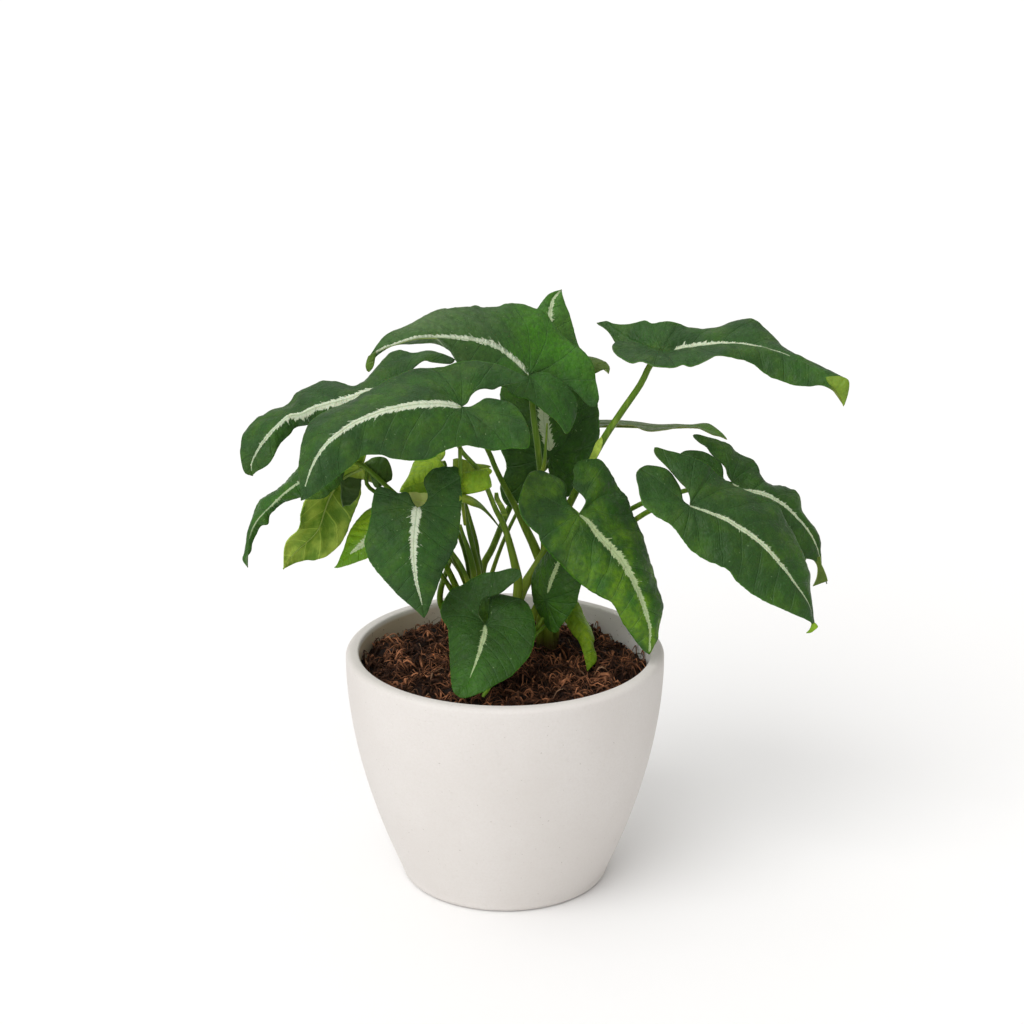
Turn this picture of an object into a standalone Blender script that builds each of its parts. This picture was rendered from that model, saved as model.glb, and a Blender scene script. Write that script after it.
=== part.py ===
"""Arrow-leaved house plant with silver midribs, in a plain white pot.

The pot stands on z = 0 with its axis on the z axis. Three plantlets root in the
soil, each a crown with its leaf stalks, and each leaf blade sits on its stalk.
"""

import math

import bmesh
import bpy
from mathutils import Vector

MM = 0.001
GAP = 0.3

# Pot, in millimetres
POT_HEIGHT = 114.0
POT_RADIUS = 75.2
POT_WALL = 6.1
POT_FOOT_RADIUS = 48.5
POT_FOOT_FLAT = 46.8
POT_FOOT_ROUND = 4.0
POT_BELLY_TOP = 108.0
POT_BELLY_POWER = 1.8
POT_LIP_DEPTH = 5.0
POT_LIP_ROUND = 2.6
POT_LIP_STEPS = 6
POT_FLOOR = 7.0
POT_FLOOR_ROUND = 4.0
POT_OUTSIDE_LEVELS = (10, 19, 29, 40, 52, 65, 80, 95)
POT_INSIDE_LEVELS = (13, 24, 38, 55, 75, 95)
POT_SIDES = 48

# Soil, in millimetres
SOIL_LEVEL = 101.5
SOIL_SLOPE = 1.8
SOIL_HUMP = 3.0
SOIL_LUMP = 1.1
SOIL_RINGS = 9
SOIL_SIDES = 44

# Crowns: the short stem of each plantlet and where it stands, in millimetres
CROWN_RADIUS = 6.5
CROWN_TOP_RADIUS = 5.2
CROWN_FOOT = 92.0
CROWN_TOP = 119.0
CROWN_SIDES = 12
HOLE_SIDES = 24
HOLE_DEPTH = 30.0
CROWNS = {
    "left": (-14, 21),
    "centre": (4, 3),
    "right": (21, 22),
}

# Stalks, in millimetres: they root inside the crown and end under the blade
STALK_SIDES = 6
STALK_RINGS = 9
STALK_SPREAD = 3.4
STALK_ROOT = 112.0
STALK_ROOT_SWELL = 1.25
STALK_TOP_SHARE = 0.8
STALK_NECK_DROP = 7.0
STALK_NECK_BACK = 4.0

# Blades: thickness in millimetres, rows along the lobe edge and the midrib, and
# columns from them to the margin
BLADE_THICKNESS = 0.7
SINUS_ROWS = 4
MIDRIB_ROWS = 10
COLUMNS = 3
LOBE_SHARE = 0.8
LEFT_WAVE_LAG = 1.3
LINE_STEPS = 12

# Each leaf: its hub, where blade and stalk meet, and its tip, in millimetres;
# roll turns the blade about the line from hub to tip, in degrees.
# Points on the blade are (along, left, lift) in millimetres from the hub, along
# that line: rib lists two on the midrib, and left and right list the margin from
# the tip back round the lobe, and on some leaves down its inner edge to the hub.
# ripple is the wave of the margin as (height, number of waves, phase), and puff is
# how far each half bulges.
# The stalk goes from a crown to the hub past the points in bend.
LEAVES = {
    "top": {
        "hub": (11, 14, 243), "tip": (-61, -8, 253), "roll": 38,
        "rib": [(21, -8, 12), (56, -5, 17)],
        "left": [
            (60, -4, 8), (29, 3, -2), (5, 12, -5), (-15, 25, -8), (-23, 20, -8), (-21, 10, -6),
            (-11, 2, -2),
        ],
        "right": [
            (73, -6, 8), (65, -13, 12), (39, -29, 10), (1, -39, 5), (-20, -26, 1),
            (-32, -11, 0), (-35, 0, -2), (-30, 5, -4), (-20, 2, -4), (-10, -2, -3),
        ],
        "ripple": (0.8, 3, 0.4), "puff": 2.0,
        "crown": "right", "radius": 1.7, "bend": [(19, 21, 151), (17, 18, 192), (13, 15, 226)],
    },
    "front_left": {
        "hub": (-19, -32, 241), "tip": (-88, -66, 209), "roll": 35,
        "rib": [(18, -5, 13), (52, -11, 16)],
        "left": [
            (60, 2, 6), (45, 4, 4), (25, 14, 0), (8, 18, -4), (-11, 27, -7), (-20, 23, -8),
            (-19, 9, -5),
        ],
        "right": [
            (73, -17, 5), (54, -30, 6), (33, -29, 3), (11, -29, 0), (-12, -22, -3), (-31, -11, -6),
            (-35, -2, -8), (-18, -4, -5),
        ],
        "ripple": (0.9, 4, 1.2), "puff": 2.0,
        "crown": "centre", "radius": 1.9, "bend": [(4, 0, 148), (-8, -12, 195), (-18, -25, 224)],
    },
    "front_right": {
        "hub": (34, -8, 183), "tip": (67, -24, 120), "roll": -30,
        "rib": [(19, 4, 5), (45, 7, 6)],
        "left": [
            (57, 16, 2), (33, 22, 1), (8, 28, -1), (-5, 28, -3), (-18, 24, -4), (-21, 15, -4),
            (-12, 7, -3),
        ],
        "right": [
            (51, -5, 2), (36, -12, 1), (17, -18, -2), (-2, -23, -3), (-15, -24, -4), (-26, -14, -5),
            (-25, -4, -6), (-14, 2, -4),
        ],
        "ripple": (0.8, 3, 2.0), "puff": 2.0,
        "crown": "centre", "radius": 1.7, "bend": [(11, 6, 123), (19, 8, 140), (28, 7, 163)],
    },
    "upper_right": {
        "hub": (72, 15, 255), "tip": (154, -5, 234), "roll": -12,
        "rib": [(20, 8, 6), (49, 13, 11)],
        "left": [
            (81, 20, 4), (54, 27, 10), (32, 30, 12), (7, 19, 10), (-10, 13, 6), (-30, 17, -3),
            (-13, 8, -1),
        ],
        "right": [(72, 4, 4), (46, 0, 5), (20, -13, 5), (-5, -21, 2), (-21, -10, 0), (-11, -2, 0)],
        "ripple": (0.9, 4, 0.0), "puff": 1.5,
        "crown": "centre", "radius": 1.8, "bend": [(7, 8, 137), (19, 14, 157), (42, 19, 203), (61, 18, 236)],
    },
    "back_upright": {
        "hub": (21, 34, 198), "tip": (27, 60, 273), "roll": -15,
        "rib": [(27, 4, 3), (55, 4, 4)],
        "left": [
            (73, 9, 1), (52, 18, -2), (32, 25, -4), (14, 24, -5), (-6, 21, -6), (-20, 16, -7),
            (-11, 4, -3),
        ],
        "right": [
            (66, -7, 0), (48, -16, -2), (22, -22, -4), (5, -21, -6), (-14, -15, -7),
            (-9, -4, -3),
        ],
        "ripple": (0.9, 3, 1.0), "puff": 1.6,
        "crown": "left", "radius": 1.6, "bend": [(-11, 24, 143), (-6, 28, 154), (5, 39, 176)],
    },
    "far_left": {
        "hub": (-50, 25, 235), "tip": (-119, 20, 193), "roll": 35,
        "rib": [(26, -5, 8), (56, -8, 12)],
        "left": [
            (69, 1, 4), (61, -2, 4), (49, -2, 2), (30, 2, -3), (3, 8, -6), (-10, 9, -7),
            (-6, 3, -3),
        ],
        "right": [
            (80, -8, 6), (76, -18, 6), (64, -23, 6), (45, -26, 4), (28, -24, 2), (15, -14, 0),
            (-7, -21, -2), (-21, -13, -4), (-28, -2, -6), (-15, -2, -3),
        ],
        "ripple": (0.6, 4, 2.4), "puff": 1.6,
        "crown": "right", "radius": 1.8,
        "bend": [(14, 22, 149), (10, 22, 165), (-8, 23, 205), (-30, 25, 226)],
    },
    "low_left_narrow": {
        "hub": (-78, 0, 206), "tip": (-120, -5, 156), "roll": 35,
        "rib": [(19, -4, 6), (41, -9, 6)],
        "left": [(54, -6, 2), (43, -5, 1), (30, 0, -2), (13, 7, -5), (-8, 8, -6)],
        "right": [
            (60, -7, 2), (52, -11, 3), (42, -17, 3), (24, -15, 2), (5, -15, -2), (-11, -9, -4),
        ],
        "ripple": (0.6, 3, 0.7), "puff": 1.2,
        "crown": "left", "radius": 1.3, "bend": [(-17, 18, 138), (-34, 12, 166), (-61, 4, 192)],
    },
    "low_left_pale": {
        "hub": (-66, -10, 206), "tip": (-102, -18, 160), "roll": -60,
        "rib": [(16, -1, 4), (36, -4, 5)],
        "left": [(49, 5, 3), (38, 8, 2), (25, 15, -1), (8, 16, -3), (-9, 9, -3)],
        "right": [(50, -11, 3), (34, -21, 1), (18, -18, 0), (3, -15, -3), (-9, -8, -4)],
        "ripple": (0.9, 3, 1.9), "puff": 1.4,
        "crown": "left", "radius": 1.3, "bend": [(-18, 13, 140), (-32, 6, 170), (-52, -3, 193)],
    },
    "left_young": {
        "hub": (-52, -15, 188), "tip": (-78, -22, 162), "roll": 25,
        "rib": [(13, 3, 3), (27, 3, 3)],
        "left": [(29, 10, 0), (16, 14, -2), (-4, 10, -3)],
        "right": [(28, -3, 1), (14, -8, -2), (-6, -7, -4)],
        "ripple": (0.6, 2, 0.0), "puff": 1.0,
        "crown": "left", "radius": 1.1, "bend": [(-25, 9, 139), (-41, -4, 168)],
    },
    "front_heart": {
        "hub": (-39, -38, 196), "tip": (-36, -50, 148), "roll": 0,
        "rib": [(14, -1, 3), (34, -1, 3)],
        "left": [
            (37, 6, 1), (17, 17, -2), (-2, 21, -3), (-15, 20, -4), (-18, 14, -4), (-12, 6, -3),
        ],
        "right": [
            (39, -10, 0), (23, -22, -2), (10, -23, -4), (-3, -21, -5), (-11, -16, -5),
            (-7, -7, -3),
        ],
        "ripple": (0.6, 3, 1.5), "puff": 1.8,
        "crown": "left", "radius": 1.4, "bend": [(-22, 9, 138), (-30, -6, 163), (-35, -24, 181)],
    },
    "rim_heart": {
        "hub": (-9, -32, 138), "tip": (-21, -61, 115), "roll": 10,
        "rib": [(12, 4, 3), (28, 3, 3)],
        "left": [(33, 13, 2), (20, 21, 1), (4, 24, -1), (-12, 20, -2), (-18, 12, -2), (-13, 5, -1)],
        "right": [
            (36, -4, 1), (18, -11, 0), (2, -20, 3), (-8, -20, 7), (-15, -12, 12), (-21, 0, 16),
            (-19, 9, 18), (-9, 1, 8),
        ],
        "ripple": (0.5, 2, 0.8), "puff": 1.6,
        "crown": "centre", "radius": 1.3, "bend": [(-1, -9, 121), (-6, -20, 129)],
    },
    "centre_small": {
        "hub": (19, -6, 140), "tip": (32, 2, 170), "roll": -20,
        "rib": [(10, 0, 2), (21, 0, 2)],
        "left": [(23, 9, 0), (7, 13, -2), (-6, 8, -4)],
        "right": [(25, -13, 0), (7, -15, -2), (-11, -10, -5)],
        "ripple": (0.6, 2, 0.5), "puff": 1.2,
        "crown": "centre", "radius": 1.1, "bend": [(12, -3, 120), (18, -4, 130)],
    },
    "right_hanging": {
        "hub": (29, 12, 132), "tip": (39, -5, 104), "roll": -10,
        "rib": [(12, 3, 3), (25, 4, 3)],
        "left": [(28, 7, 1), (12, 9, -1), (-3, 6, -1)],
        "right": [(26, 0, 1), (12, -3, -1), (-2, -4, -1)],
        "ripple": (0.6, 2, 2.2), "puff": 0.8,
        "crown": "right", "radius": 1.0, "bend": [(25, 20, 123)],
    },
    "right_front": {
        "hub": (84, -20, 191), "tip": (142, -32, 137), "roll": -35,
        "rib": [(17, 5, 7), (47, 7, 8)],
        "left": [
            (67, 11, 3), (47, 26, 3), (27, 32, 3), (11, 27, 0), (-5, 24, -1), (-20, 19, -3),
            (-29, 15, -5), (-20, 12, -3), (-10, 9, -1),
        ],
        "right": [
            (65, -7, 3), (45, -13, 2), (23, -15, 0), (0, -15, -2), (-14, -14, -4), (-26, -6, -6),
            (-26, 2, -6), (-20, 7, -5), (-11, 7, -3),
        ],
        "ripple": (0.8, 4, 0.9), "puff": 2.0,
        "crown": "right", "radius": 1.4, "bend": [(20, 18, 133), (45, 15, 159), (65, 10, 177), (75, -4, 186)],
    },
    "right_behind": {
        "hub": (106, 12, 192), "tip": (151, 0, 146), "roll": -30,
        "rib": [(14, 6, 6), (35, 9, 7)],
        "left": [
            (55, 5, 2), (40, 15, 4), (24, 22, 3), (12, 15, 2), (1, 19, 0), (-15, 17, -2),
            (-26, 10, -3), (-13, 4, -2),
        ],
        "right": [
            (56, -12, 2), (35, -17, 0), (8, -17, -4), (-12, -16, -6), (-21, -10, -8),
            (-12, -3, -4),
        ],
        "ripple": (0.7, 5, 0.3), "puff": 1.6,
        "crown": "right", "radius": 1.3, "bend": [(28, 22, 140), (45, 22, 164), (64, 19, 179), (85, 15, 187)],
    },
    "back_flat": {
        "hub": (39, 66, 205), "tip": (107, 50, 202), "roll": 6,
        "rib": [(22, 1, 3), (46, 1, 4)],
        "left": [(56, 9, 3), (34, 17, 2), (4, 18, 0), (-14, 11, -2)],
        "right": [(57, -8, 3), (36, -16, 1), (6, -17, -2), (-13, -10, -4)],
        "ripple": (0.9, 4, 1.1), "puff": 1.2,
        "crown": "left", "radius": 1.4, "bend": [(-6, 32, 141), (5, 47, 164), (22, 62, 188)],
    },
    "back_small": {
        "hub": (31, 80, 236), "tip": (50, 63, 231), "roll": -20,
        "rib": [(8, 0, 2), (17, 0, 3)],
        "left": [(18, 5, 1), (8, 9, 0), (-7, 6, -2)],
        "right": [(19, -4, 0), (10, -8, -2), (-6, -6, -3)],
        "ripple": (0.5, 2, 0.0), "puff": 0.8,
        "crown": "right", "radius": 1.0, "bend": [(22, 38, 145), (18, 52, 180), (18, 68, 212)],
    },
    "young_left": {
        "hub": (-30, 13, 202), "tip": (-49, 6, 189), "roll": 20,
        "rib": [(8, -1, 2), (17, 0, 3)],
        "left": [(20, 3, 0), (14, 9, -3), (0, 9, -4)],
        "right": [(19, -4, 2), (8, -10, 0), (-5, -7, -2)],
        "ripple": (0.5, 2, 0.9), "puff": 0.8,
        "crown": "left", "radius": 1.0, "bend": [(-18, 18, 150), (-28, 17, 183)],
    },
    "young_curled": {
        "hub": (-22, 4, 197), "tip": (-4, -4, 200), "roll": -40,
        "rib": [(7, -1, 2), (14, -2, 3)],
        "left": [(16, 3, 1), (8, 7, 0), (-5, 8, -3)],
        "right": [(18, -7, 0), (9, -10, -2), (-3, -6, -4)],
        "ripple": (0.5, 2, 2.0), "puff": 0.8,
        "crown": "left", "radius": 1.0, "bend": [(-13, 14, 144), (-13, 13, 159), (-17, 12, 176)],
    },
}

PALE_LEAVES = ("low_left_pale", "left_young", "right_hanging", "young_left", "young_curled")


# Curves

def spline_point(a, b, c, d, t):
    """Point at t between b and c of the smooth curve through a, b, c, d."""
    return 0.5 * (
        2.0 * b
        + (c - a) * t
        + (2.0 * a - 5.0 * b + 4.0 * c - d) * t**2
        + (3.0 * b - a - 3.0 * c + d) * t**3
    )


def smooth_line(points):
    """Points along the smooth curve that passes through the given ones."""
    first = points[0] * 2.0 - points[1]
    last = points[-1] * 2.0 - points[-2]
    guides = [first, *points, last]
    line = []
    for a, b, c, d in zip(guides, guides[1:], guides[2:], guides[3:]):
        line += [spline_point(a, b, c, d, step / LINE_STEPS) for step in range(LINE_STEPS)]
    line.append(points[-1])
    return line


def line_length(line):
    return sum((b - a).length for a, b in zip(line, line[1:]))


def along_line(line, share):
    """Point at a share of the length of a line of points."""
    left = share * line_length(line)
    for a, b in zip(line, line[1:]):
        length = (b - a).length
        if left <= length:
            return a.lerp(b, left / length if length else 0.0)
        left -= length
    return line[-1].copy()


# Blades

def leaf_axes(leaf):
    """Directions along the blade, to its left, and out of its upper face."""
    along = (Vector(leaf["tip"]) - Vector(leaf["hub"])).normalized()
    up = Vector((0.0, 0.0, 1.0))
    up = (up - along * up.dot(along)).normalized()
    aside = up.cross(along)
    roll = math.radians(leaf["roll"])
    face = up * math.cos(roll) + aside * math.sin(roll)
    return along, face.cross(along), face


def blade_lines(leaf, side):
    """Margin, lobe edge and midrib of one half, in blade coordinates."""
    hub = Vector((0.0, 0.0, 0.0))
    tip = Vector(((Vector(leaf["tip"]) - Vector(leaf["hub"])).length, 0.0, 0.0))
    points = [tip, *(Vector(point) for point in leaf[side])]
    back = min(range(len(points)), key=lambda index: points[index].x)
    if back == len(points) - 1:
        end = points[back]
        points.append(Vector((0.5 * end.x, 0.25 * end.y, 0.5 * end.z)))
    points.append(hub)
    outline = smooth_line(points)
    lobe = LINE_STEPS * back
    margin = outline[: lobe + 1][::-1]
    lobe_edge = outline[lobe:]
    midrib = smooth_line([hub, *(Vector(point) for point in leaf["rib"]), tip])
    return margin, lobe_edge, midrib


def blade_point(leaf, side, lines, across, row):
    """Point of a half blade: across is 0 at the rib and 1 at the margin."""
    margin, lobe_edge, midrib = lines
    lobe_length = line_length(lobe_edge)
    hub_share = LOBE_SHARE * lobe_length / (lobe_length + line_length(midrib))
    if row <= SINUS_ROWS:
        part = row / SINUS_ROWS
        inner = along_line(lobe_edge, part)
        outer = along_line(margin, hub_share * part)
    else:
        part = (row - SINUS_ROWS) / MIDRIB_ROWS
        inner = along_line(midrib, part)
        outer = along_line(margin, hub_share + (1.0 - hub_share) * part)
    height, waves, phase = leaf["ripple"]
    if side == "left":
        phase += LEFT_WAVE_LAG
    share = row / (SINUS_ROWS + MIDRIB_ROWS)
    fade = math.sin(math.pi * share)
    wave = math.sin(2.0 * math.pi * waves * share + phase)
    point = inner.lerp(outer, across)
    point.z += leaf["puff"] * fade * math.sin(math.pi * across)
    point.z += height * fade * across**2 * wave
    return point


def add_half_blade(bm, leaf, side):
    """One half of the blade as a grid from the rib to the margin."""
    lines = blade_lines(leaf, side)
    rows = SINUS_ROWS + MIDRIB_ROWS
    grid = bmesh.ops.create_grid(bm, x_segments=COLUMNS, y_segments=rows, size=0.5)
    faces = {face for vert in grid["verts"] for face in vert.link_faces}
    for vert in grid["verts"]:
        row = round((vert.co.y + 0.5) * rows)
        vert.co = blade_point(leaf, side, lines, vert.co.x + 0.5, row)
    if side == "left":
        bmesh.ops.reverse_faces(bm, faces=list(faces))


def make_blade(name, leaf, material):
    """Thin waved blade, split into the same triangles on both faces."""
    bm = bmesh.new()
    for side in ("left", "right"):
        add_half_blade(bm, leaf, side)
    bmesh.ops.remove_doubles(bm, verts=bm.verts, dist=0.01)
    bmesh.ops.triangulate(bm, faces=bm.faces)
    along, left, face = leaf_axes(leaf)
    hub = Vector(leaf["hub"])
    for vert in bm.verts:
        point = hub + along * vert.co.x + left * vert.co.y + face * vert.co.z
        vert.co = point * MM
    blade = object_from(bm, f"blade_{name}", material)
    wall = blade.modifiers.new("Thickness", "SOLIDIFY")
    wall.thickness = BLADE_THICKNESS * MM
    wall.offset = 0.0
    return blade


# Stalks and crowns

def object_from(bm, name, material):
    """Object whose mesh is the finished one, shaded smooth, in the scene."""
    mesh = bpy.data.meshes.new(name)
    bm.to_mesh(mesh)
    bm.free()
    mesh.shade_smooth()
    mesh.set_sharp_from_angle(angle=math.radians(40.0))
    mesh.materials.append(material)
    made = bpy.data.objects.new(name, mesh)
    bpy.context.scene.collection.objects.link(made)
    return made


def root_turns(leaves):
    """Angle round its crown at which each stalk roots, spread evenly, so none cross."""
    ways = []
    for leaf in leaves:
        x, y = CROWNS[leaf["crown"]]
        bend = leaf["bend"][0]
        ways.append(math.atan2(bend[1] - y, bend[0] - x))
    order = sorted(range(len(ways)), key=lambda index: ways[index])
    step = 2.0 * math.pi / len(ways)
    start = sum(ways[index] - step * place for place, index in enumerate(order)) / len(ways)
    return {index: start + step * place for place, index in enumerate(order)}


def stalk_line(leaf, turn):
    """Middle line of a stalk, from inside its crown to just under the blade."""
    along, _, face = leaf_axes(leaf)
    x, y = CROWNS[leaf["crown"]]
    root = Vector((x + STALK_SPREAD * math.cos(turn), y + STALK_SPREAD * math.sin(turn), STALK_ROOT))
    below = BLADE_THICKNESS / 2 + GAP + STALK_TOP_SHARE**2 * leaf["radius"]
    end = Vector(leaf["hub"]) - face * below
    neck = end - face * STALK_NECK_DROP - along * STALK_NECK_BACK
    return smooth_line([root, *(Vector(point) for point in leaf["bend"]), neck, end])


def make_stalk(leaf, turn, material):
    """Tapered round stalk along its middle line."""
    line = stalk_line(leaf, turn)
    bm = bmesh.new()
    grid = bmesh.ops.create_grid(bm, x_segments=STALK_SIDES, y_segments=STALK_RINGS, size=0.5)
    for vert in grid["verts"]:
        angle = 2.0 * math.pi * (vert.co.x + 0.5)
        share = vert.co.y + 0.5
        behind = along_line(line, max(share - 0.02, 0.0))
        ahead = along_line(line, min(share + 0.02, 1.0))
        facing = Vector((0.0, 0.0, 1.0)).rotation_difference(ahead - behind)
        swell = STALK_ROOT_SWELL + (STALK_TOP_SHARE - STALK_ROOT_SWELL) * share
        spoke = Vector((math.cos(angle), math.sin(angle), 0.0)) * leaf["radius"] * swell
        vert.co = (along_line(line, share) + facing @ spoke) * MM
    bmesh.ops.remove_doubles(bm, verts=bm.verts, dist=0.001 * MM)
    ends = [edge for edge in bm.edges if edge.is_boundary]
    bmesh.ops.holes_fill(bm, edges=ends, sides=STALK_SIDES)
    bmesh.ops.recalc_face_normals(bm, faces=bm.faces)
    bmesh.ops.triangulate(bm, faces=bm.faces)
    return object_from(bm, "stalk", material)


def upright_peg(name, place, foot, top, radii, sides, material):
    """Solid round peg standing at a place, from one height to another."""
    bm = bmesh.new()
    bmesh.ops.create_cone(
        bm,
        cap_ends=True,
        segments=sides,
        radius1=radii[0] * MM,
        radius2=radii[1] * MM,
        depth=(top - foot) * MM,
    )
    bmesh.ops.translate(bm, verts=bm.verts, vec=Vector((*place, (foot + top) / 2)) * MM)
    return object_from(bm, name, material)


def fuse(whole, pieces):
    """Joins one piece with a list of others, which are then removed, into one body."""
    group = bpy.data.collections.new(whole.name)
    bpy.context.scene.collection.children.link(group)
    for piece in pieces:
        group.objects.link(piece)
    join = whole.modifiers.new("Fuse", "BOOLEAN")
    join.operation = "UNION"
    join.operand_type = "COLLECTION"
    join.collection = group
    graph = bpy.context.evaluated_depsgraph_get()
    fused = bpy.data.meshes.new_from_object(whole.evaluated_get(graph))
    whole.modifiers.clear()
    whole.data = fused
    for piece in pieces:
        bpy.data.objects.remove(piece)
    bpy.data.collections.remove(group)


def connected_verts(start):
    """All the verts that edges join to this one."""
    body = {start}
    fresh = [start]
    while fresh:
        for edge in fresh.pop().link_edges:
            for vert in edge.verts:
                if vert not in body:
                    body.add(vert)
                    fresh.append(vert)
    return body


def fill_hollows(plantlet):
    """Deletes the inner walls of any hollow that is closed in between stalks."""
    bm = bmesh.new()
    bm.from_mesh(plantlet.data)
    loose = set(bm.verts)
    bodies = []
    while loose:
        body = connected_verts(loose.pop())
        loose -= body
        bodies.append(body)
    bodies.sort(key=len)
    for body in bodies[:-1]:
        bmesh.ops.delete(bm, geom=list(body), context="VERTS")
    bm.to_mesh(plantlet.data)
    bm.free()


def make_plantlet(name, place, material):
    """Crown and leaf stalks of one plantlet, grown together as one body."""
    radii = (CROWN_RADIUS, CROWN_TOP_RADIUS)
    crown = upright_peg(f"stalks_{name}", place, CROWN_FOOT, CROWN_TOP, radii, CROWN_SIDES, material)
    leaves = [leaf for leaf in LEAVES.values() if leaf["crown"] == name]
    turns = root_turns(leaves)
    stalks = [make_stalk(leaf, turns[index], material) for index, leaf in enumerate(leaves)]
    fuse(crown, stalks)
    fill_hollows(crown)
    return crown


# Pot and soil

def pot_radius(height):
    """Outer radius of the pot's belly at a height."""
    share = min(height / POT_BELLY_TOP, 1.0)
    return POT_FOOT_RADIUS + (POT_RADIUS - POT_FOOT_RADIUS) * (1.0 - (1.0 - share) ** POT_BELLY_POWER)


def pot_wall(height):
    """Inner radius of the pot at a height."""
    return pot_radius(height) - POT_WALL


def pot_floor_radius():
    """Radius of the flat floor inside the pot."""
    return pot_wall(POT_INSIDE_LEVELS[0]) - POT_FLOOR_ROUND


def pot_profile():
    """Outline of the pot from the middle of its foot to the middle of its floor."""
    foot = pot_radius(POT_FOOT_ROUND)
    lip_foot = POT_HEIGHT - POT_LIP_DEPTH
    outside = (POT_FOOT_ROUND, *POT_OUTSIDE_LEVELS, lip_foot)
    inside = (*POT_INSIDE_LEVELS, lip_foot)
    points = [(0.0, 0.0), (POT_FOOT_FLAT, 0.0), (foot - 1.6, 0.7), (foot - 0.5, 2.0)]
    points += [(pot_radius(z), z) for z in outside]
    for step in range(1, POT_LIP_STEPS):
        turn = math.pi * step / POT_LIP_STEPS
        radius = POT_RADIUS - POT_WALL / 2 * (1.0 - math.cos(turn))
        points.append((radius, POT_HEIGHT - POT_LIP_ROUND * (1.0 - math.sin(turn))))
    points += [(pot_wall(z), z) for z in reversed(inside)]
    points += [(pot_floor_radius(), POT_FLOOR), (0.0, POT_FLOOR)]
    return points


def turned(name, profile, sides, material):
    """Solid turned about the z axis from a profile that starts and ends on it."""
    bm = bmesh.new()
    verts = [bm.verts.new((radius * MM, 0.0, height * MM)) for radius, height in profile]
    edges = [bm.edges.new(pair) for pair in zip(verts, verts[1:])]
    bmesh.ops.spin(
        bm,
        geom=verts + edges,
        axis=(0.0, 0.0, 1.0),
        cent=(0.0, 0.0, 0.0),
        steps=sides,
        angle=2.0 * math.pi,
        use_merge=True,
    )
    bmesh.ops.remove_doubles(bm, verts=bm.verts, dist=0.01 * MM)
    bmesh.ops.recalc_face_normals(bm, faces=bm.faces)
    return object_from(bm, name, material)


def soil_height(x, y):
    """Height of the soil: higher at the left, with low lumps."""
    out = math.hypot(x, y) / POT_RADIUS
    lumps = math.sin(x / 7.0 + 1.0) * math.cos(y / 8.0) + 0.6 * math.sin(x / 4.1 - y / 5.3)
    return SOIL_LEVEL - SOIL_SLOPE * x / POT_RADIUS + SOIL_HUMP * (1.0 - out**2) + SOIL_LUMP * lumps


def soil_profile():
    """Outline of the soil from the middle of its underside to the middle of its top."""
    points = [(0.0, POT_FLOOR + GAP), (pot_floor_radius() - 2 * GAP, POT_FLOOR + GAP)]
    points += [(pot_wall(z) - 2 * GAP, z) for z in POT_INSIDE_LEVELS]
    edge = pot_wall(SOIL_LEVEL) - 2 * GAP
    for ring in range(SOIL_RINGS, -1, -1):
        points.append((edge * ring / SOIL_RINGS, SOIL_LEVEL))
    return points


def drill_hole(soil, name, place):
    """Cuts the hole that a crown stands in out of the soil."""
    foot = CROWN_FOOT - GAP
    radius = CROWN_RADIUS + GAP
    material = soil.data.materials[0]
    top = foot + HOLE_DEPTH
    drill = upright_peg(f"hole_{name}", place, foot, top, (radius, radius), HOLE_SIDES, material)
    drill.hide_render = True
    drill.display_type = "WIRE"
    cut = soil.modifiers.new(f"Hole {name}", "BOOLEAN")
    cut.operation = "DIFFERENCE"
    cut.object = drill


def make_soil(material):
    """Soil that fills the pot, with a lumpy top and a hole for each crown."""
    soil = turned("soil", soil_profile(), SOIL_SIDES, material)
    for vert in soil.data.vertices:
        if vert.co.z > (SOIL_LEVEL - 1.0) * MM:
            vert.co.z = soil_height(vert.co.x / MM, vert.co.y / MM) * MM
    for name, place in CROWNS.items():
        drill_hole(soil, name, place)
    return soil


def make_pot(material):
    """Round pot with a rounded lip, a curved belly and a flat foot."""
    return turned("pot", pot_profile(), POT_SIDES, material)


# Materials

def plain_material(name, colour, roughness):
    """Principled material of one colour."""
    material = bpy.data.materials.new(name)
    material.use_nodes = True
    shader = material.node_tree.nodes["Principled BSDF"]
    shader.inputs["Base Color"].default_value = (*colour, 1.0)
    shader.inputs["Roughness"].default_value = roughness
    shader.inputs["Metallic"].default_value = 0.0
    return material


def pot_white():
    return plain_material("pot_white", (0.72, 0.68, 0.64), 0.75)


def soil_brown():
    return plain_material("soil_brown", (0.035, 0.014, 0.007), 0.95)


def stalk_green():
    return plain_material("stalk_green", (0.10, 0.18, 0.035), 0.5)


def leaf_dark_green():
    return plain_material("leaf_dark_green", (0.035, 0.085, 0.025), 0.45)


def leaf_pale_green():
    return plain_material("leaf_pale_green", (0.14, 0.24, 0.04), 0.5)


def main():
    for old in list(bpy.data.objects):
        bpy.data.objects.remove(old)
    make_pot(pot_white())
    make_soil(soil_brown())
    green = stalk_green()
    for name, place in CROWNS.items():
        make_plantlet(name, place, green)
    dark = leaf_dark_green()
    pale = leaf_pale_green()
    for name, leaf in LEAVES.items():
        make_blade(name, leaf, pale if name in PALE_LEAVES else dark)


main()
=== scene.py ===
"""Arrow-leaved house plant with silver midribs in a plain white pot: its looks.

Each blade, each plantlet's stalks, the soil and the pot are built again in finer
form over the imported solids, and get their colours, veins and grain here.
"""

import math
import random

import bmesh
import bpy
import numpy as np
from mathutils import Euler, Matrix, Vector, noise


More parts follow.
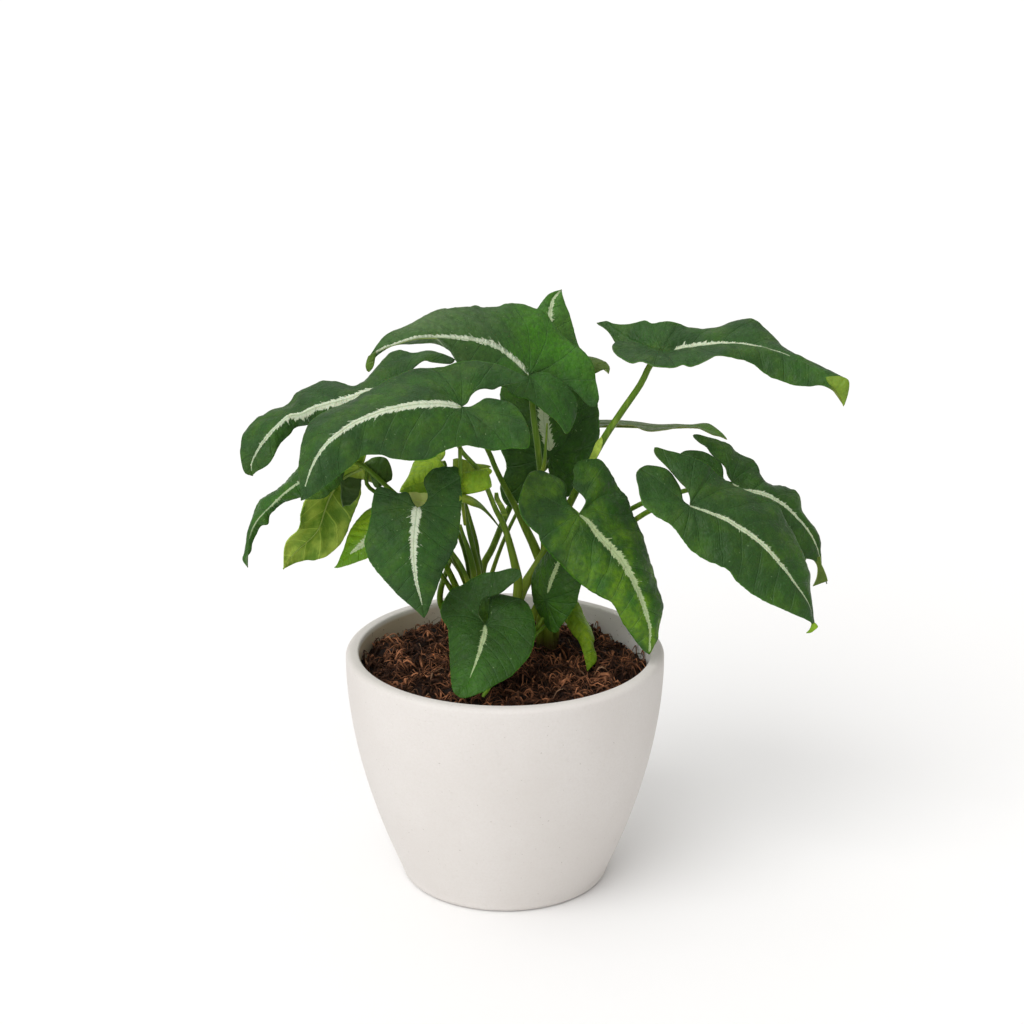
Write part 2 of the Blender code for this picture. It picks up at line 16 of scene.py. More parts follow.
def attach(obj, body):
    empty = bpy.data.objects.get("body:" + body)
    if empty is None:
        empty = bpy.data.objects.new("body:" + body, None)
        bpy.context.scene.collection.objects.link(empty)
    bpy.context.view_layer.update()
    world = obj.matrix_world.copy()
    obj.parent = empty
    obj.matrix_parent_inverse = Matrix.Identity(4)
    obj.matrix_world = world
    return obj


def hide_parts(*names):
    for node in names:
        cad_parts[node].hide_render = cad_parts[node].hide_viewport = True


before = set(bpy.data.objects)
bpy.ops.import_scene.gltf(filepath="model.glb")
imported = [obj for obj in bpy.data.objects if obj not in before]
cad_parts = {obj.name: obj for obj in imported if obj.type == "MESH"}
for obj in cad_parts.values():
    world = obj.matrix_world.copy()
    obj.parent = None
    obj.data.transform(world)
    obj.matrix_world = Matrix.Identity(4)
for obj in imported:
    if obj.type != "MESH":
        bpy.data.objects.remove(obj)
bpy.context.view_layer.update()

# Lengths are in millimetres up to the finished meshes, which are in metres
MM = 0.001
UP = Vector((0.0, 0.0, 1.0))
WELD = 0.001

# Camera: place, tilt below the horizon in degrees, lens and sensor
CAMERA_PLACE = (3.3, -1000.0, 514.6)
CAMERA_TILT = 18.43
CAMERA_LENS = 79.93
CAMERA_SENSOR = 36.0

# Lamps: heading, strength and softness in degrees. Then the white room and the floor
LAMPS = {
    "key": ((0.6, 0.78, -0.85), 1.8, 55.0),
    "top": ((0.1, -0.25, -1.0), 0.95, 90.0),
}
ROOM_COLOUR = (1.0, 0.975, 0.95, 1.0)
ROOM_STRENGTH = 0.46
FLOOR_COLOUR = (0.93, 0.93, 0.93)
FLOOR_SIZE = 12.0

# Pot
POT_HEIGHT = 114.0
POT_RADIUS = 75.2
POT_WALL = 6.1
POT_FOOT_RADIUS = 48.5
POT_FOOT_FLAT = 46.8
POT_FOOT_ROUND = 4.0
POT_FOOT_STEPS = 6
POT_BELLY_TOP = 108.0
POT_BELLY_POWER = 1.8
POT_LIP_DEPTH = 5.0
POT_LIP_ROUND = 2.6
POT_LIP_INNER = 1.1
POT_LIP_STEPS = 18
POT_LIP_INSIDE = 0.6
POT_FLOOR = 7.0
POT_FLOOR_ROUND = 4.0
POT_FLOOR_WALL = 13.0
POT_LEVEL_STEP = 3.0
POT_SIDES = 160
POT_WELD = 0.01

# Soil: its level, slope and hump, the size of its lumps, and those of the rough top,
# as their height, their size and the layer of noise they are taken from
SOIL_LEVEL = 101.5
SOIL_SLOPE = 1.8
SOIL_HUMP = 3.0
SOIL_LUMP = 1.1
SOIL_LUMP_SIZE = (7.0, 8.0)
SOIL_SMALL_LUMP = 0.6
SOIL_SMALL_LUMP_SIZE = (4.1, 5.3)
SOIL_ROUGHNESS = ((3.4, 9.0, 3.1), (2.0, 3.6, 7.7))
SOIL_HEAPS = (6.0, 2.2)
SOIL_HEAPED = 0.55
SOIL_EDGE = 0.8
SOIL_EDGE_WIDTH = 0.2
SOIL_EDGE_SINK = 1.8
SOIL_OVERLAP = 0.3
SOIL_DEPTH = 12.0
SOIL_RINGS = 60
SOIL_SIDES = 168
SOIL_CLEAR_EDGE = 2.0

# Clods and flakes on the soil: how many, their seed, and the range of their sizes
CLODS = 300
CLOD_SEED = 5
CLOD_RADIUS = (0.9, 2.6)
CLOD_WIDTH = (0.7, 1.4)
CLOD_HEIGHT = (0.5, 0.9)
CLOD_ROUGHNESS = 0.45
CLOD_GRAIN = 700.0
CLOD_LIFT = 0.1
FLAKES = 1100
FLAKE_SEED = 8
FLAKE_LENGTH = (1.2, 4.2)
FLAKE_WIDTH = (0.18, 0.5)
FLAKE_THICKNESS = 0.5
FLAKE_TAPER = 0.6
FLAKE_TILT = 0.5
FLAKE_TURN = 6.3
FLAKE_LIFT = (0.2, 1.6)
FLAKE_JOLT = (0.15, 0.12, 0.12)
FLAKE_TONE_POWER = 1.5

# Strands of coir: how many, their length, thickness and lift, their seed and colour
STRANDS = {
    "coir_shreds": (1900, (4.0, 13.0), 0.5, 4.0, 11, "coir"),
    "coir_fibres": (2300, (5.0, 16.0), 0.22, 5.0, 12, "coir"),
    "coir_pale_fibres": (70, (7.0, 17.0), 0.36, 6.0, 13, "straw"),
}
STRAND_POINTS = 6
STRAND_CURVE = 0.13
STRAND_WANDER = 0.1
STRAND_WALL_GAP = 0.8
STRAND_BASE = 0.3
STRAND_JOLT = 0.2
STRAND_SIZE = (0.35, 1.3)
STRAND_TAPER = (0.3, 0.7)
# Painted shade of the strands: the lower they lie within this depth in millimetres, the darker, down to
# the least tone
STRAND_SHADE_DEPTH = 2.6
STRAND_LEAST_TONE = 0.25
STRAND_TONE_LIFT = 0.15

# Crowns: the short stem of each plantlet and where it stands
CROWN_RADIUS = 5.0
CROWN_TOP_RADIUS = 2.6
CROWN_TAPER = 1.5
CROWN_FOOT = 96.0
CROWN_TOP = 113.0
CROWN_SIDES = 24
CROWN_RINGS = 12
CROWNS = {
    "left": (-14, 21),
    "centre": (4, 3),
    "right": (21, 22),
}

# Stalks: they root inside the crown and run on under the midrib
STALK_SIDES = 14
STALK_RINGS = 70
STALK_SPREAD = 3.4
STALK_FOOT_SPREAD = 0.6
STALK_ROOT = 112.0
STALK_ROOT_SWELL = 1.25
STALK_TOP_SHARE = 0.8
STALK_BELOW_BLADE = 0.65
STALK_SINK = 0.35
STALK_NECK_DROP = 7.0
STALK_NECK_BACK = 4.0
STALK_SHEATH = 0.9
STALK_SHEATH_END = 0.5
STALK_SHEATH_RISE = 12.0
STALK_SHEATH_TAPER = 1.2
STALK_SHEATH_FLATNESS = 0.35
ROLL_RINGS = 40

# Mark of the part of a stalk that lies under its blade
UNDER_BLADE = 2.0

# Necks that differ, as drop and way back from the hub, and wider sheaths, as their
# added share of the radius and the share of the stalk they cover
NECKS = {
    "upper_right": (8.0, 3.4),
    "front_heart": (5.0, -5.0),
    "low_left_pale": (2.0, 3.0),
    "low_left_narrow": (2.0, 4.0),
    "young_left": (3.0, 1.0),
    "young_curled": (3.0, 1.0),
}
SHEATHS = {
    "front_left": (2.2, 0.6),
    "far_left": (2.2, 0.6),
}

# The rib under a blade: its steps, where it ends and how it thins out
UNDER_RIB_STEPS = 24
UNDER_RIB_END = 0.9
UNDER_RIB_GAP = 0.1
UNDER_RIB_SHARE = 0.8
UNDER_RIB_TAPER = 1.4
UNDER_RIB_LEAST = 0.12

# Blades: thickness, rows along the lobe edge and the midrib, and columns from them to
# the margin. SOLID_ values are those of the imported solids
BLADE_THICKNESS = 0.45
BLADE_WELD = 0.02
SOLID_SINUS_ROWS = 4
SOLID_MIDRIB_ROWS = 10
SINUS_ROWS = 30
MIDRIB_ROWS = 104
COLUMNS = 16
LOBE_SHARE = 0.8
LEFT_WAVE_LAG = 1.3
LINE_STEPS = 5
FIRST_SEED = 0.37
RIGHT_SEED = 31.0
SHEET_SEED = 7.3

# Relief of a blade: its full height needs a midrib of FULL_LENGTH. Side veins and midrib
# are grooves of a depth and half width, with a swell between the veins
FULL_LENGTH = 80.0
VEINS = 7.0
VEIN_CURVE = 0.55
VEIN_GAP_SHARE = 0.85
LOBE_VEIN_TURN = 0.46
LOBE_RELIEF = 0.4
RELIEF_EDGE_POWER = 4
VEIN_DEPTH = 0.42
VEIN_HALF_WIDTH = 1.3
VEIN_START = 7.0
VEIN_SWELL = 0.22
RIB_DEPTH = 0.55
RIB_HALF_WIDTH = 1.6
WRINKLE_SIZE = 13.0
WRINKLE = 0.9
FINE_WRINKLE_RATE = 3.1
FINE_WRINKLE = 0.4
WRINKLE_RISE = 6.0
FRILL = 0.5
FINE_FRILL = 0.8

# Noise of the frill: waves along the margin, step from blade to blade and its layer
FRILL_NOISE = (34.0, 3.7, 0.5)
FINE_FRILL_NOISE = (90.0, 2.3, 4.5)

# Silver stripe: the power by which it widens, and how it narrows to the tip
STRIPE_RISE = 0.5
STRIPE_TAPER = 0.9
STRIPE_TAPER_POWER = 1.2
NO_STRIPE = -0.4
PALE_TIP_LENGTH = 0.04

# Scraps and sheaths: rows, columns and side veins, and the roughness of the sheet
SHEET_ROWS = 40
SHEET_COLUMNS = 14
SHEET_VEINS = 2.4
SHEET_STEP = 0.02
SHEET_FULL_WIDTH = 7.0
SHEET_ROUGHNESS = 0.5
SHEET_WAVES = (5.0, 3.0, 9.0)
# Marks every scrap carries; shade is painted shade at half strength
SHEET_MARKS = {
    "stripe_width": NO_STRIPE, "rib_distance": 1.0, "vein_gap": 3.0, "shade": 0.5, "mottle": 0.6,
}
FRESH_SHEET = 0.3

# Colours, in linear red, green and blue
SILVER = (0.6, 0.67, 0.5)
STRIPE_CREAM = (0.36, 0.46, 0.2)
STRIPE_STREAK = (0.25, 0.34, 0.14)
STRIPE_LINE = (0.3, 0.4, 0.2)
STRIPE_RIB = (0.24, 0.34, 0.15)
LEAF_MOTTLE = (0.115, 0.24, 0.008)
LEAF_PAINTED_SHEEN = (0.09, 0.17, 0.05)
LEAF_DOT = (0.3, 0.42, 0.2)
LEAF_PALE_TIP = (0.17, 0.22, 0.035)
# Pale underside of tips and scraps, brightened as painted light shining through them
UNDER_PALE_AND_LIT_THROUGH = (0.58, 0.66, 0.2)
STALK_FOOT_GREEN = (0.25, 0.34, 0.03)
STALK_GREEN = (0.085, 0.17, 0.01)
STALK_DULL = (0.07, 0.14, 0.008)
STALK_STREAK = (0.27, 0.38, 0.05)
STALK_RIB = (0.3, 0.4, 0.1)
STALK_BROWN_AND_SHADE = (0.055, 0.032, 0.016)
POT_WHITE = (0.725, 0.695, 0.668)
POT_CLOUD = (0.695, 0.662, 0.632)
POT_GRAIN = (0.66, 0.62, 0.58)
POT_SPECK = (0.3, 0.26, 0.22)
POT_INSIDE_PAINTED_LIGHT = (0.97, 0.95, 0.92)
POT_STAIN = (0.5, 0.385, 0.24)
POT_CRUMB = (0.14, 0.085, 0.05)

# Side veins as they are painted: how far they wander, the minor veins between two of
# them, and the net. Scales are in waves a metre
VEIN_WOBBLE = 0.22
VEIN_WOBBLE_SCALE = 90.0
MINOR_VEINS = 4.0
MINOR_VEIN_WIDTH = 0.16
MINOR_VEIN_SHARE = 0.45
MINOR_VEIN_BREAKS = (0.4, 0.65)
MINOR_VEIN_BREAK_SCALE = 120.0
VEIN_NET_SCALE = 330.0
VEIN_NET_WIDTH = 0.12

# Margin of the silver stripe: its barbs by side vein and by millimetre, the noise from
# which they become spikes, its teeth and its soft edge in millimetres
STRIPE_BARBS = (9.0, 0.18)
STRIPE_BARB_DETAIL = 4.0
STRIPE_BARB_ROUGHNESS = 0.7
STRIPE_SPIKES = (0.6, 0.72)
STRIPE_TEETH = 1.5
STRIPE_TEETH_SCALE = 3.6
STRIPE_TEETH_WIDTHS = (0.1, 1.1)
STRIPE_BODY = 0.8
STRIPE_EDGE = (-0.05, 0.14)
STRIPE_LEAST_WIDTHS = (0.0, 0.15)

# Where the stalk feet are brown, partly the dry sheath and partly painted shade near the soil, and where
# the inside of the pot is stained, in metres
FOOT_BROWN_SHADE_HEIGHTS = (0.111, 0.121)
FOOT_BROWN_SHADE_UNEVENNESS = 0.008
STAIN_LEFT = (-0.06, 0.01)
STAIN_HEIGHTS = (0.1105, 0.1128)

# Leaf materials: upper faces as deep and fresh green, undersides as deep and pale
UPPER_FACES = {
    "fine_leaf_dark_green": ((0.022, 0.068, 0.013), (0.05, 0.19, 0.006)),
    "fine_leaf_pale_green": ((0.1, 0.23, 0.008), (0.33, 0.5, 0.02)),
}
UNDERSIDES = {
    "fine_leaf_dark_under": ((0.06, 0.12, 0.035), (0.1, 0.17, 0.05)),
    "fine_leaf_pale_under": ((0.11, 0.23, 0.008), (0.37, 0.5, 0.06)),
    "fine_leaf_olive_under": ((0.07, 0.09, 0.012), (0.11, 0.15, 0.02)),
}

# Kinds of leaf: material of the upper face and of the underside, and colour slot
LEAF_KINDS = {
    "dark": ("fine_leaf_dark_green", "fine_leaf_dark_under", "leaf_dark_green"),
    "olive": ("fine_leaf_dark_green", "fine_leaf_olive_under", "leaf_dark_green"),
    "pale": ("fine_leaf_pale_green", "fine_leaf_pale_under", "leaf_pale_green"),
}

# Soil materials: dark and light brown, and the scale of their patches in waves a metre. The soil's
# near-black brown stands partly for painted shade in the gaps between strands.
BROWNS = {
    "soil": ("fine_soil_brown", (0.007, 0.0025, 0.0012), (0.06, 0.022, 0.01), 260.0),
    "coir": ("coir_brown", (0.016, 0.0052, 0.0024), (0.6, 0.25, 0.12), 80.0),
    "straw": ("coir_light_brown", (0.13, 0.06, 0.03), (0.5, 0.3, 0.18), 70.0),
}

# Each leaf: its hub, where stalk, lobes and midrib meet, and its tip; how far the face
# rolls to its left; which crown the stalk springs from, its radius and the points it
# bends through; puff is the bulge between rib and margin, ripple the height, number and
# phase of the waves of the margin. Then, in blade coordinates (along, left, lift) and in
# tenths of a millimetre, the midrib, and the left and right margin from the tip round
# the lobe to the hub.
LEAVES = {
    "top": {
        "hub": (11, 14, 243), "tip": (-61, -8, 253), "roll": 38, "crown": "right", "radius": 1.7,
        "puff": 2, "ripple": (0.8, 3, 0.4),
        "bend": [(19, 21, 151), (17, 18, 192), (13, 15, 226)],
        "rib": [
            (46, -22, 32), (93, -44, 61), (143, -63, 88), (198, -75, 111), (255, -79, 127),
            (313, -77, 142), (372, -72, 154), (431, -66, 163), (490, -59, 169), (550, -53, 169),
            (607, -46, 154), (659, -42, 124), (706, -43, 88), (746, -33, 44),
        ],
        "left": [
            (743, -21, 21), (722, -41, 46), (654, -63, 88), (573, -69, 103), (491, -75, 105),
            (450, -74, 100), (413, -64, 86), (383, -46, 64), (359, -25, 38), (329, -7, 17), (306, 17, -8),
            (273, 35, -24), (234, 47, -31), (194, 51, -29), (154, 47, -18), (116, 55, -16), (91, 84, -32),
            (57, 105, -40), (17, 115, -37), (-47, 164, -50), (-79, 188, -56), (-115, 209, -58),
            (-143, 235, -69), (-167, 258, -86), (-195, 229, -82), (-229, 156, -74), (-234, 120, -59),
            (-228, 84, -42), (-179, 29, -14), (-113, -10, 7), (-74, -17, 10), (-34, -13, 8),
        ],
        "right": [
            (766, -27, 28), (749, -47, 61), (702, -95, 110), (630, -136, 117), (559, -179, 111),
            (491, -227, 107), (419, -271, 101), (342, -299, 88), (263, -326, 81), (226, -344, 76),
            (187, -345, 63), (105, -360, 53), (66, -376, 52), (-16, -386, 46), (-95, -362, 39),
            (-130, -340, 34), (-183, -277, 14), (-239, -217, 3), (-296, -156, 6), (-333, -81, -4),
            (-339, 0, -24), (-344, 41, -33), (-346, 79, -51), (-328, 109, -73), (-292, 97, -70),
            (-233, 40, -46), (-159, 1, -38), (-120, -16, -33), (-79, -20, -25), (-39, -11, -13),
        ],
    },
    "front_left": {
        "hub": (-19, -32, 241), "tip": (-88, -66, 209), "roll": 35, "crown": "centre", "radius": 1.2,
        "puff": 2, "ripple": (0.9, 4, 1.2),
        "bend": [
            (6.1, 1, 142.9), (5.1, -1, 153.6), (1.4, -4, 170.4), (-1.3, -6, 178.9), (-4.4, -8, 185.7),
            (-7.6, -11, 195.3), (-11.9, -14, 206), (-16.1, -18, 212.3), (-20, -22, 218.7),
            (-20.8, -26, 226.6),
        ],
        "rib": [
            (42, -6, 41), (87, -18, 79), (137, -30, 109), (190, -47, 132), (246, -63, 147),
            (303, -78, 157), (361, -90, 163), (420, -99, 165), (479, -107, 164), (539, -108, 155),
            (597, -106, 140), (652, -98, 118), (702, -81, 91), (748, -57, 61), (790, -28, 30),
        ],
        "left": [
            (794, 14, 5), (712, 22, 28), (632, 18, 54), (548, 13, 66), (506, 7, 65), (434, 43, 39),
            (404, 70, 26), (332, 112, 10), (254, 142, -2), (170, 149, -12), (91, 166, -31),
            (55, 186, -42), (-12, 234, -61), (-51, 250, -63), (-88, 269, -70), (-121, 292, -84),
            (-152, 299, -90), (-181, 268, -83), (-200, 231, -81), (-212, 189, -73), (-216, 147, -64),
            (-212, 105, -51), (-191, 69, -37), (-123, 20, -11), (-79, 17, -10), (-35, 16, -9),
        ],
        "right": [
            (812, -32, 10), (777, -104, 33), (728, -170, 50), (671, -230, 59), (603, -278, 63),
            (522, -293, 54), (439, -293, 41), (356, -291, 34), (273, -294, 24), (190, -296, 12),
            (107, -295, 3), (65, -296, 3), (26, -284, -3), (-46, -246, -22), (-125, -219, -30),
            (-202, -188, -37), (-268, -140, -53), (-318, -77, -76), (-339, -42, -84), (-353, -3, -88),
            (-311, -9, -82), (-229, -28, -65), (-186, -28, -58), (-152, -43, -39), (-113, -47, -22),
            (-72, -34, -14), (-38, -9, -10),
        ],
    },
    "front_right": {
        "hub": (34, -8, 183), "tip": (67, -24, 120), "roll": -30, "crown": "centre", "radius": 1.7,
        "puff": 2, "ripple": (0.8, 3, 2),
        "bend": [(11, 6, 123), (19, 8, 140), (28, 7, 163)],
        "rib": [
            (53, 17, 18), (109, 22, 32), (166, 31, 44), (221, 46, 54), (278, 59, 61), (336, 62, 61),
            (395, 65, 60), (453, 64, 56), (511, 59, 51), (569, 54, 44), (625, 43, 33), (677, 21, 17),
        ],
        "left": [
            (705, 33, 5), (683, 68, 13), (650, 91, 12), (589, 147, 19), (556, 172, 23), (477, 196, 21),
            (396, 211, 16), (315, 226, 10), (235, 247, 5), (155, 263, -3), (114, 269, -9), (34, 287, -15),
            (-3, 274, -29), (-85, 273, -34), (-164, 261, -34), (-188, 228, -41), (-202, 189, -42),
            (-209, 149, -41), (-191, 109, -42), (-154, 89, -37), (-122, 60, -35), (-47, 66, 4),
            (-18, 35, 5),
        ],
        "right": [
            (694, -21, -3), (613, -43, 2), (531, -58, 12), (449, -67, 23), (410, -83, 21),
            (378, -108, 14), (306, -148, -3), (228, -173, -17), (147, -191, -24), (69, -221, -33),
            (29, -229, -33), (-13, -230, -30), (-93, -251, -38), (-173, -231, -43), (-230, -172, -46),
            (-254, -137, -48), (-271, -102, -56), (-266, -62, -58), (-245, -28, -58), (-182, 20, -43),
            (-144, 29, -35), (-109, 11, -37), (-73, -5, -33), (-36, -6, -17),
        ],
    },
    "upper_right": {
        "hub": (72, 15, 255), "tip": (154, -5, 234), "roll": -12, "crown": "centre", "radius": 1.8,
        "puff": 1.5, "ripple": (0.9, 4, 0),
        "bend": [(7, 8, 137), (19, 14, 157), (42.2, 19, 203.6), (52.6, 18.5, 221.7), (62.6, 18, 237.3)],
        "rib": [
            (59, 21, 12), (113, 48, 33), (171, 70, 51), (230, 88, 67), (290, 105, 82), (352, 118, 92),
            (415, 126, 99), (479, 127, 102), (543, 124, 104), (606, 114, 99), (668, 102, 94),
            (730, 88, 86), (789, 68, 70), (832, 35, 37),
        ],
        "left": [
            (867, 41, 7), (862, 123, 21), (860, 162, 36), (832, 188, 40), (753, 213, 36), (670, 221, 37),
            (588, 231, 48), (512, 252, 73), (477, 269, 88), (401, 296, 111), (362, 305, 122),
            (322, 300, 119), (252, 262, 95), (219, 239, 83), (147, 199, 72), (71, 166, 65), (-8, 146, 73),
            (-84, 125, 54), (-124, 132, 54), (-193, 138, 7), (-268, 158, -21), (-307, 168, -29),
            (-343, 153, -44), (-304, 145, -55), (-270, 124, -62), (-213, 69, -84), (-139, 36, -75),
            (-65, 13, -47), (-31, 6, -25),
        ],
        "right": [
            (839, 18, 19), (806, 37, 37), (766, 45, 46), (726, 42, 42), (688, 29, 28), (609, 11, 15),
            (526, 2, 25), (488, 2, 41), (413, 0, 76), (338, -36, 80), (263, -72, 87), (232, -98, 74),
            (171, -145, 44), (131, -158, 46), (100, -180, 30), (23, -209, 17), (-19, -212, 19),
            (-60, -211, 15), (-99, -206, 1), (-173, -167, -8), (-202, -138, -4), (-210, -100, 0),
            (-198, -63, 8), (-125, -22, 6), (-84, -9, 3), (-42, -5, 0),
        ],
    },
    "back_upright": {
        "hub": (21, 34, 198), "tip": (27, 60, 273), "roll": -15, "crown": "left", "radius": 1.6,
        "puff": 1.6, "ripple": (0.9, 3, 1),
        "bend": [(-11, 24, 143), (-6, 28, 154), (5, 39, 176)],
        "rib": [
            (58, 6, 7), (113, 24, 14), (169, 40, 20), (228, 42, 26), (286, 41, 31), (344, 40, 36),
            (403, 39, 39), (462, 39, 41), (520, 39, 41), (579, 42, 38), (637, 47, 30), (694, 46, 19),
            (751, 34, 8),
        ],
        "left": [
            (782, 38, 6), (758, 71, 10), (687, 113, 5), (611, 145, -7), (534, 175, -18), (457, 206, -27),
            (380, 234, -35), (298, 250, -42), (215, 248, -46), (133, 239, -50), (50, 234, -55),
            (9, 226, -56), (-68, 196, -60), (-147, 217, -69), (-188, 214, -72), (-227, 200, -73),
            (-252, 169, -71), (-236, 132, -66), (-181, 74, -49), (-114, 31, -29), (-77, 18, -19),
            (-38, 9, -10),
        ],
        "right": [
            (755, -10, 0), (679, -46, 1), (640, -61, -2), (562, -89, -10), (524, -107, -15),
            (463, -164, -22), (382, -188, -28), (300, -205, -34), (218, -224, -40), (136, -235, -49),
            (55, -217, -59), (-27, -195, -66), (-107, -171, -71), (-145, -153, -70), (-177, -122, -65),
            (-186, -83, -58), (-159, -49, -48), (-83, -9, -24), (-42, 2, -12),
        ],
    },
    "far_left": {
        "hub": (-50, 25, 235), "tip": (-119, 20, 193), "roll": 35, "crown": "right", "radius": 1.3,
        "puff": 1.6, "ripple": (0.6, 4, 2.4),
        "bend": [
            (18.6, 22, 141.2), (14.3, 22, 155.7), (9.4, 22, 166.7), (5.1, 22, 176.4), (0.8, 22.5, 184.5),
            (-4.6, 23, 195.8), (-8.2, 23.5, 204.5), (-16.4, 24, 216.7),
        ],
        "rib": [
            (53, -17, 22), (108, -28, 40), (165, -35, 55), (223, -38, 67), (280, -48, 80), (337, -58, 95),
            (394, -67, 107), (453, -70, 113), (506, -86, 127), (565, -80, 120), (623, -74, 109),
            (679, -65, 91), (731, -51, 67), (780, -32, 39),
        ],
        "left": [
            (771, 7, 11), (693, 18, 33), (627, -26, 50), (589, -41, 51), (549, -48, 50), (510, -60, 53),
            (434, -43, 29), (379, 1, -11), (301, 20, -30), (221, 38, -41), (142, 56, -49), (62, 74, -57),
            (-19, 88, -65), (-60, 93, -70), (-100, 90, -70), (-90, 60, -51), (-64, 34, -33),
            (-34, 14, -16),
        ],
        "right": [
            (833, -22, 23), (808, -88, 64), (775, -165, 62), (749, -197, 65), (673, -228, 66),
            (632, -230, 58), (591, -236, 52), (510, -236, 32), (432, -262, 39), (350, -257, 29),
            (309, -250, 25), (245, -201, 9), (221, -168, 4), (189, -142, -2), (148, -137, -2),
            (108, -149, -3), (72, -169, -1), (-5, -201, -9), (-45, -211, -14), (-83, -202, -26),
            (-112, -175, -40), (-145, -153, -46), (-183, -137, -43), (-215, -111, -46), (-267, -47, -59),
            (-286, -13, -66), (-258, -2, -63), (-191, -38, -24), (-158, -55, -5), (-77, -33, 1),
            (-41, -11, -4),
        ],
    },
    "low_left_narrow": {
        "hub": (-78, 0, 206), "tip": (-120, -5, 156), "roll": 35, "crown": "left", "radius": 1.2,
        "puff": 1.2, "ripple": (0.6, 3, 0.7),
        "bend": [
            (-17, 18, 138), (-33.7, 8, 167.7), (-45.3, -9, 188.1), (-51.4, -13, 195.7),
            (-56.8, -14, 201.3), (-59.6, -14, 204), (-62.4, -14, 206.7), (-65, -14, 208.6),
            (-67.5, -13, 209.9), (-70.9, -9, 210.4),
        ],
        "rib": [
            (55, -10, 18), (110, -19, 37), (164, -34, 55), (220, -48, 64), (277, -63, 65), (334, -75, 61),
            (392, -84, 58), (451, -89, 59), (509, -80, 54), (561, -58, 40), (609, -30, 21),
        ],
        "left": [
            (628, -28, 15), (587, -37, 11), (552, -59, 21), (473, -80, 31), (439, -60, 17),
            (401, -74, 27), (318, -65, 20), (248, -29, 1), (222, -1, -14), (171, 58, -45), (89, 77, -54),
            (4, 83, -59), (-38, 84, -61), (-80, 80, -60), (-69, 45, -44), (-36, 16, -27),
        ],
        "right": [
            (643, -37, 16), (609, -63, 18), (537, -107, 33), (464, -150, 29), (424, -168, 29),
            (382, -172, 31), (299, -152, 22), (215, -144, 12), (132, -149, -5), (48, -150, -20),
            (-34, -128, -32), (-74, -113, -37), (-110, -90, -40), (-98, -56, -33), (-68, -32, -24),
            (-36, -11, -13),
        ],
    },
    "low_left_pale": {
        "hub": (-66, -10, 206), "tip": (-102, -18, 160), "roll": -60, "crown": "left", "radius": 1.1,
        "puff": 1.4, "ripple": (0.9, 3, 1.9),
        "bend": [
            (-18, 13, 140), (-32, 6, 170), (-48.5, -1, 182.1), (-58.4, -4, 191.3), (-63.4, -6, 197.1),
        ],
        "rib": [
            (54, 8, 30), (112, 9, 51), (173, -2, 55), (233, -20, 53), (292, -41, 45), (350, -56, 31),
            (412, -48, 26), (471, -27, 26), (531, -9, 18),
        ],
        "left": [
            (564, 13, 8), (514, 40, 25), (458, 59, 31), (401, 65, 15), (374, 77, 13), (326, 111, 6),
            (276, 142, -2), (220, 160, -10), (162, 164, -22), (103, 163, -28), (45, 152, -31),
            (-12, 132, -32), (-66, 107, -31), (-90, 90, -30), (-90, 64, -26), (-48, 25, -16),
            (-26, 10, -9),
        ],
        "right": [
            (575, -25, 4), (541, -72, 19), (506, -120, 17), (490, -144, 9), (445, -181, 0),
            (390, -206, -1), (332, -217, 2), (275, -204, 9), (220, -181, 14), (164, -159, 20),
            (111, -135, 30), (63, -102, 45), (44, -102, 34), (38, -119, 10), (17, -149, -35),
            (-10, -147, -49), (-34, -145, -60), (-58, -128, -57), (-93, -82, -42), (-98, -55, -29),
            (-82, -32, -17), (-58, -14, -9), (-30, -2, -2),
        ],
    },
    "left_young": {
        "hub": (-52, -15, 188), "tip": (-78, -22, 162), "roll": 25, "crown": "left", "radius": 1.1,
        "puff": 1, "ripple": (0.6, 2, 0),
        "bend": [(-25, 9, 139), (-41, -4, 168)],
        "rib": [(53, 15, 12), (104, 39, 14), (159, 52, 15), (215, 48, 21), (270, 37, 24), (323, 20, 14)],
        "left": [
            (358, 24, 0), (315, 64, 8), (265, 94, 9), (213, 119, -1), (161, 139, -19), (102, 135, -24),
            (44, 126, -27), (-13, 111, -30), (-40, 100, -30), (-49, 73, -26), (-34, 46, -21),
            (-18, 21, -14),
        ],
        "right": [
            (345, -5, 1), (291, -25, 9), (242, -56, 11), (190, -84, 4), (106, -106, -3), (49, -100, -15),
            (-3, -81, -34), (-60, -70, -40), (-62, -48, -34), (-42, -29, -26), (-22, -11, -15),
        ],
    },
    "front_heart": {
        "hub": (-39, -38, 196), "tip": (-36, -50, 148), "roll": 0, "crown": "left", "radius": 1.4,
        "puff": 1.8, "ripple": (0.6, 3, 1.5),
        "bend": [(-22, 9, 138), (-30, -6, 163), (-35, -24, 181)],
        "rib": [
            (60, -14, 14), (121, -27, 24), (184, -34, 27), (247, -35, 28), (311, -32, 27), (373, -21, 23),
            (434, -8, 13),
        ],
        "left": [
            (471, 17, 4), (416, 39, 10), (363, 67, 10), (308, 91, 1), (257, 122, -7), (207, 154, -15),
            (155, 182, -20), (97, 195, -24), (37, 203, -28), (-23, 210, -30), (-83, 213, -34),
            (-142, 213, -37), (-166, 200, -40), (-168, 171, -41), (-172, 142, -39), (-169, 111, -38),
            (-161, 82, -39), (-117, 43, -31), (-60, 53, -12), (-32, 48, -4), (-11, 28, 1),
        ],
        "right": [
            (474, -20, 0), (431, -61, 2), (391, -103, 0), (345, -140, -5), (299, -177, -11),
            (251, -210, -17), (198, -234, -26), (141, -242, -36), (86, -224, -40), (29, -206, -42),
            (-28, -194, -46), (-85, -178, -50), (-103, -157, -49), (-97, -128, -44), (-69, -72, -30),
            (-73, -41, -23), (-56, -25, -16), (-26, -16, -9),
        ],
    },
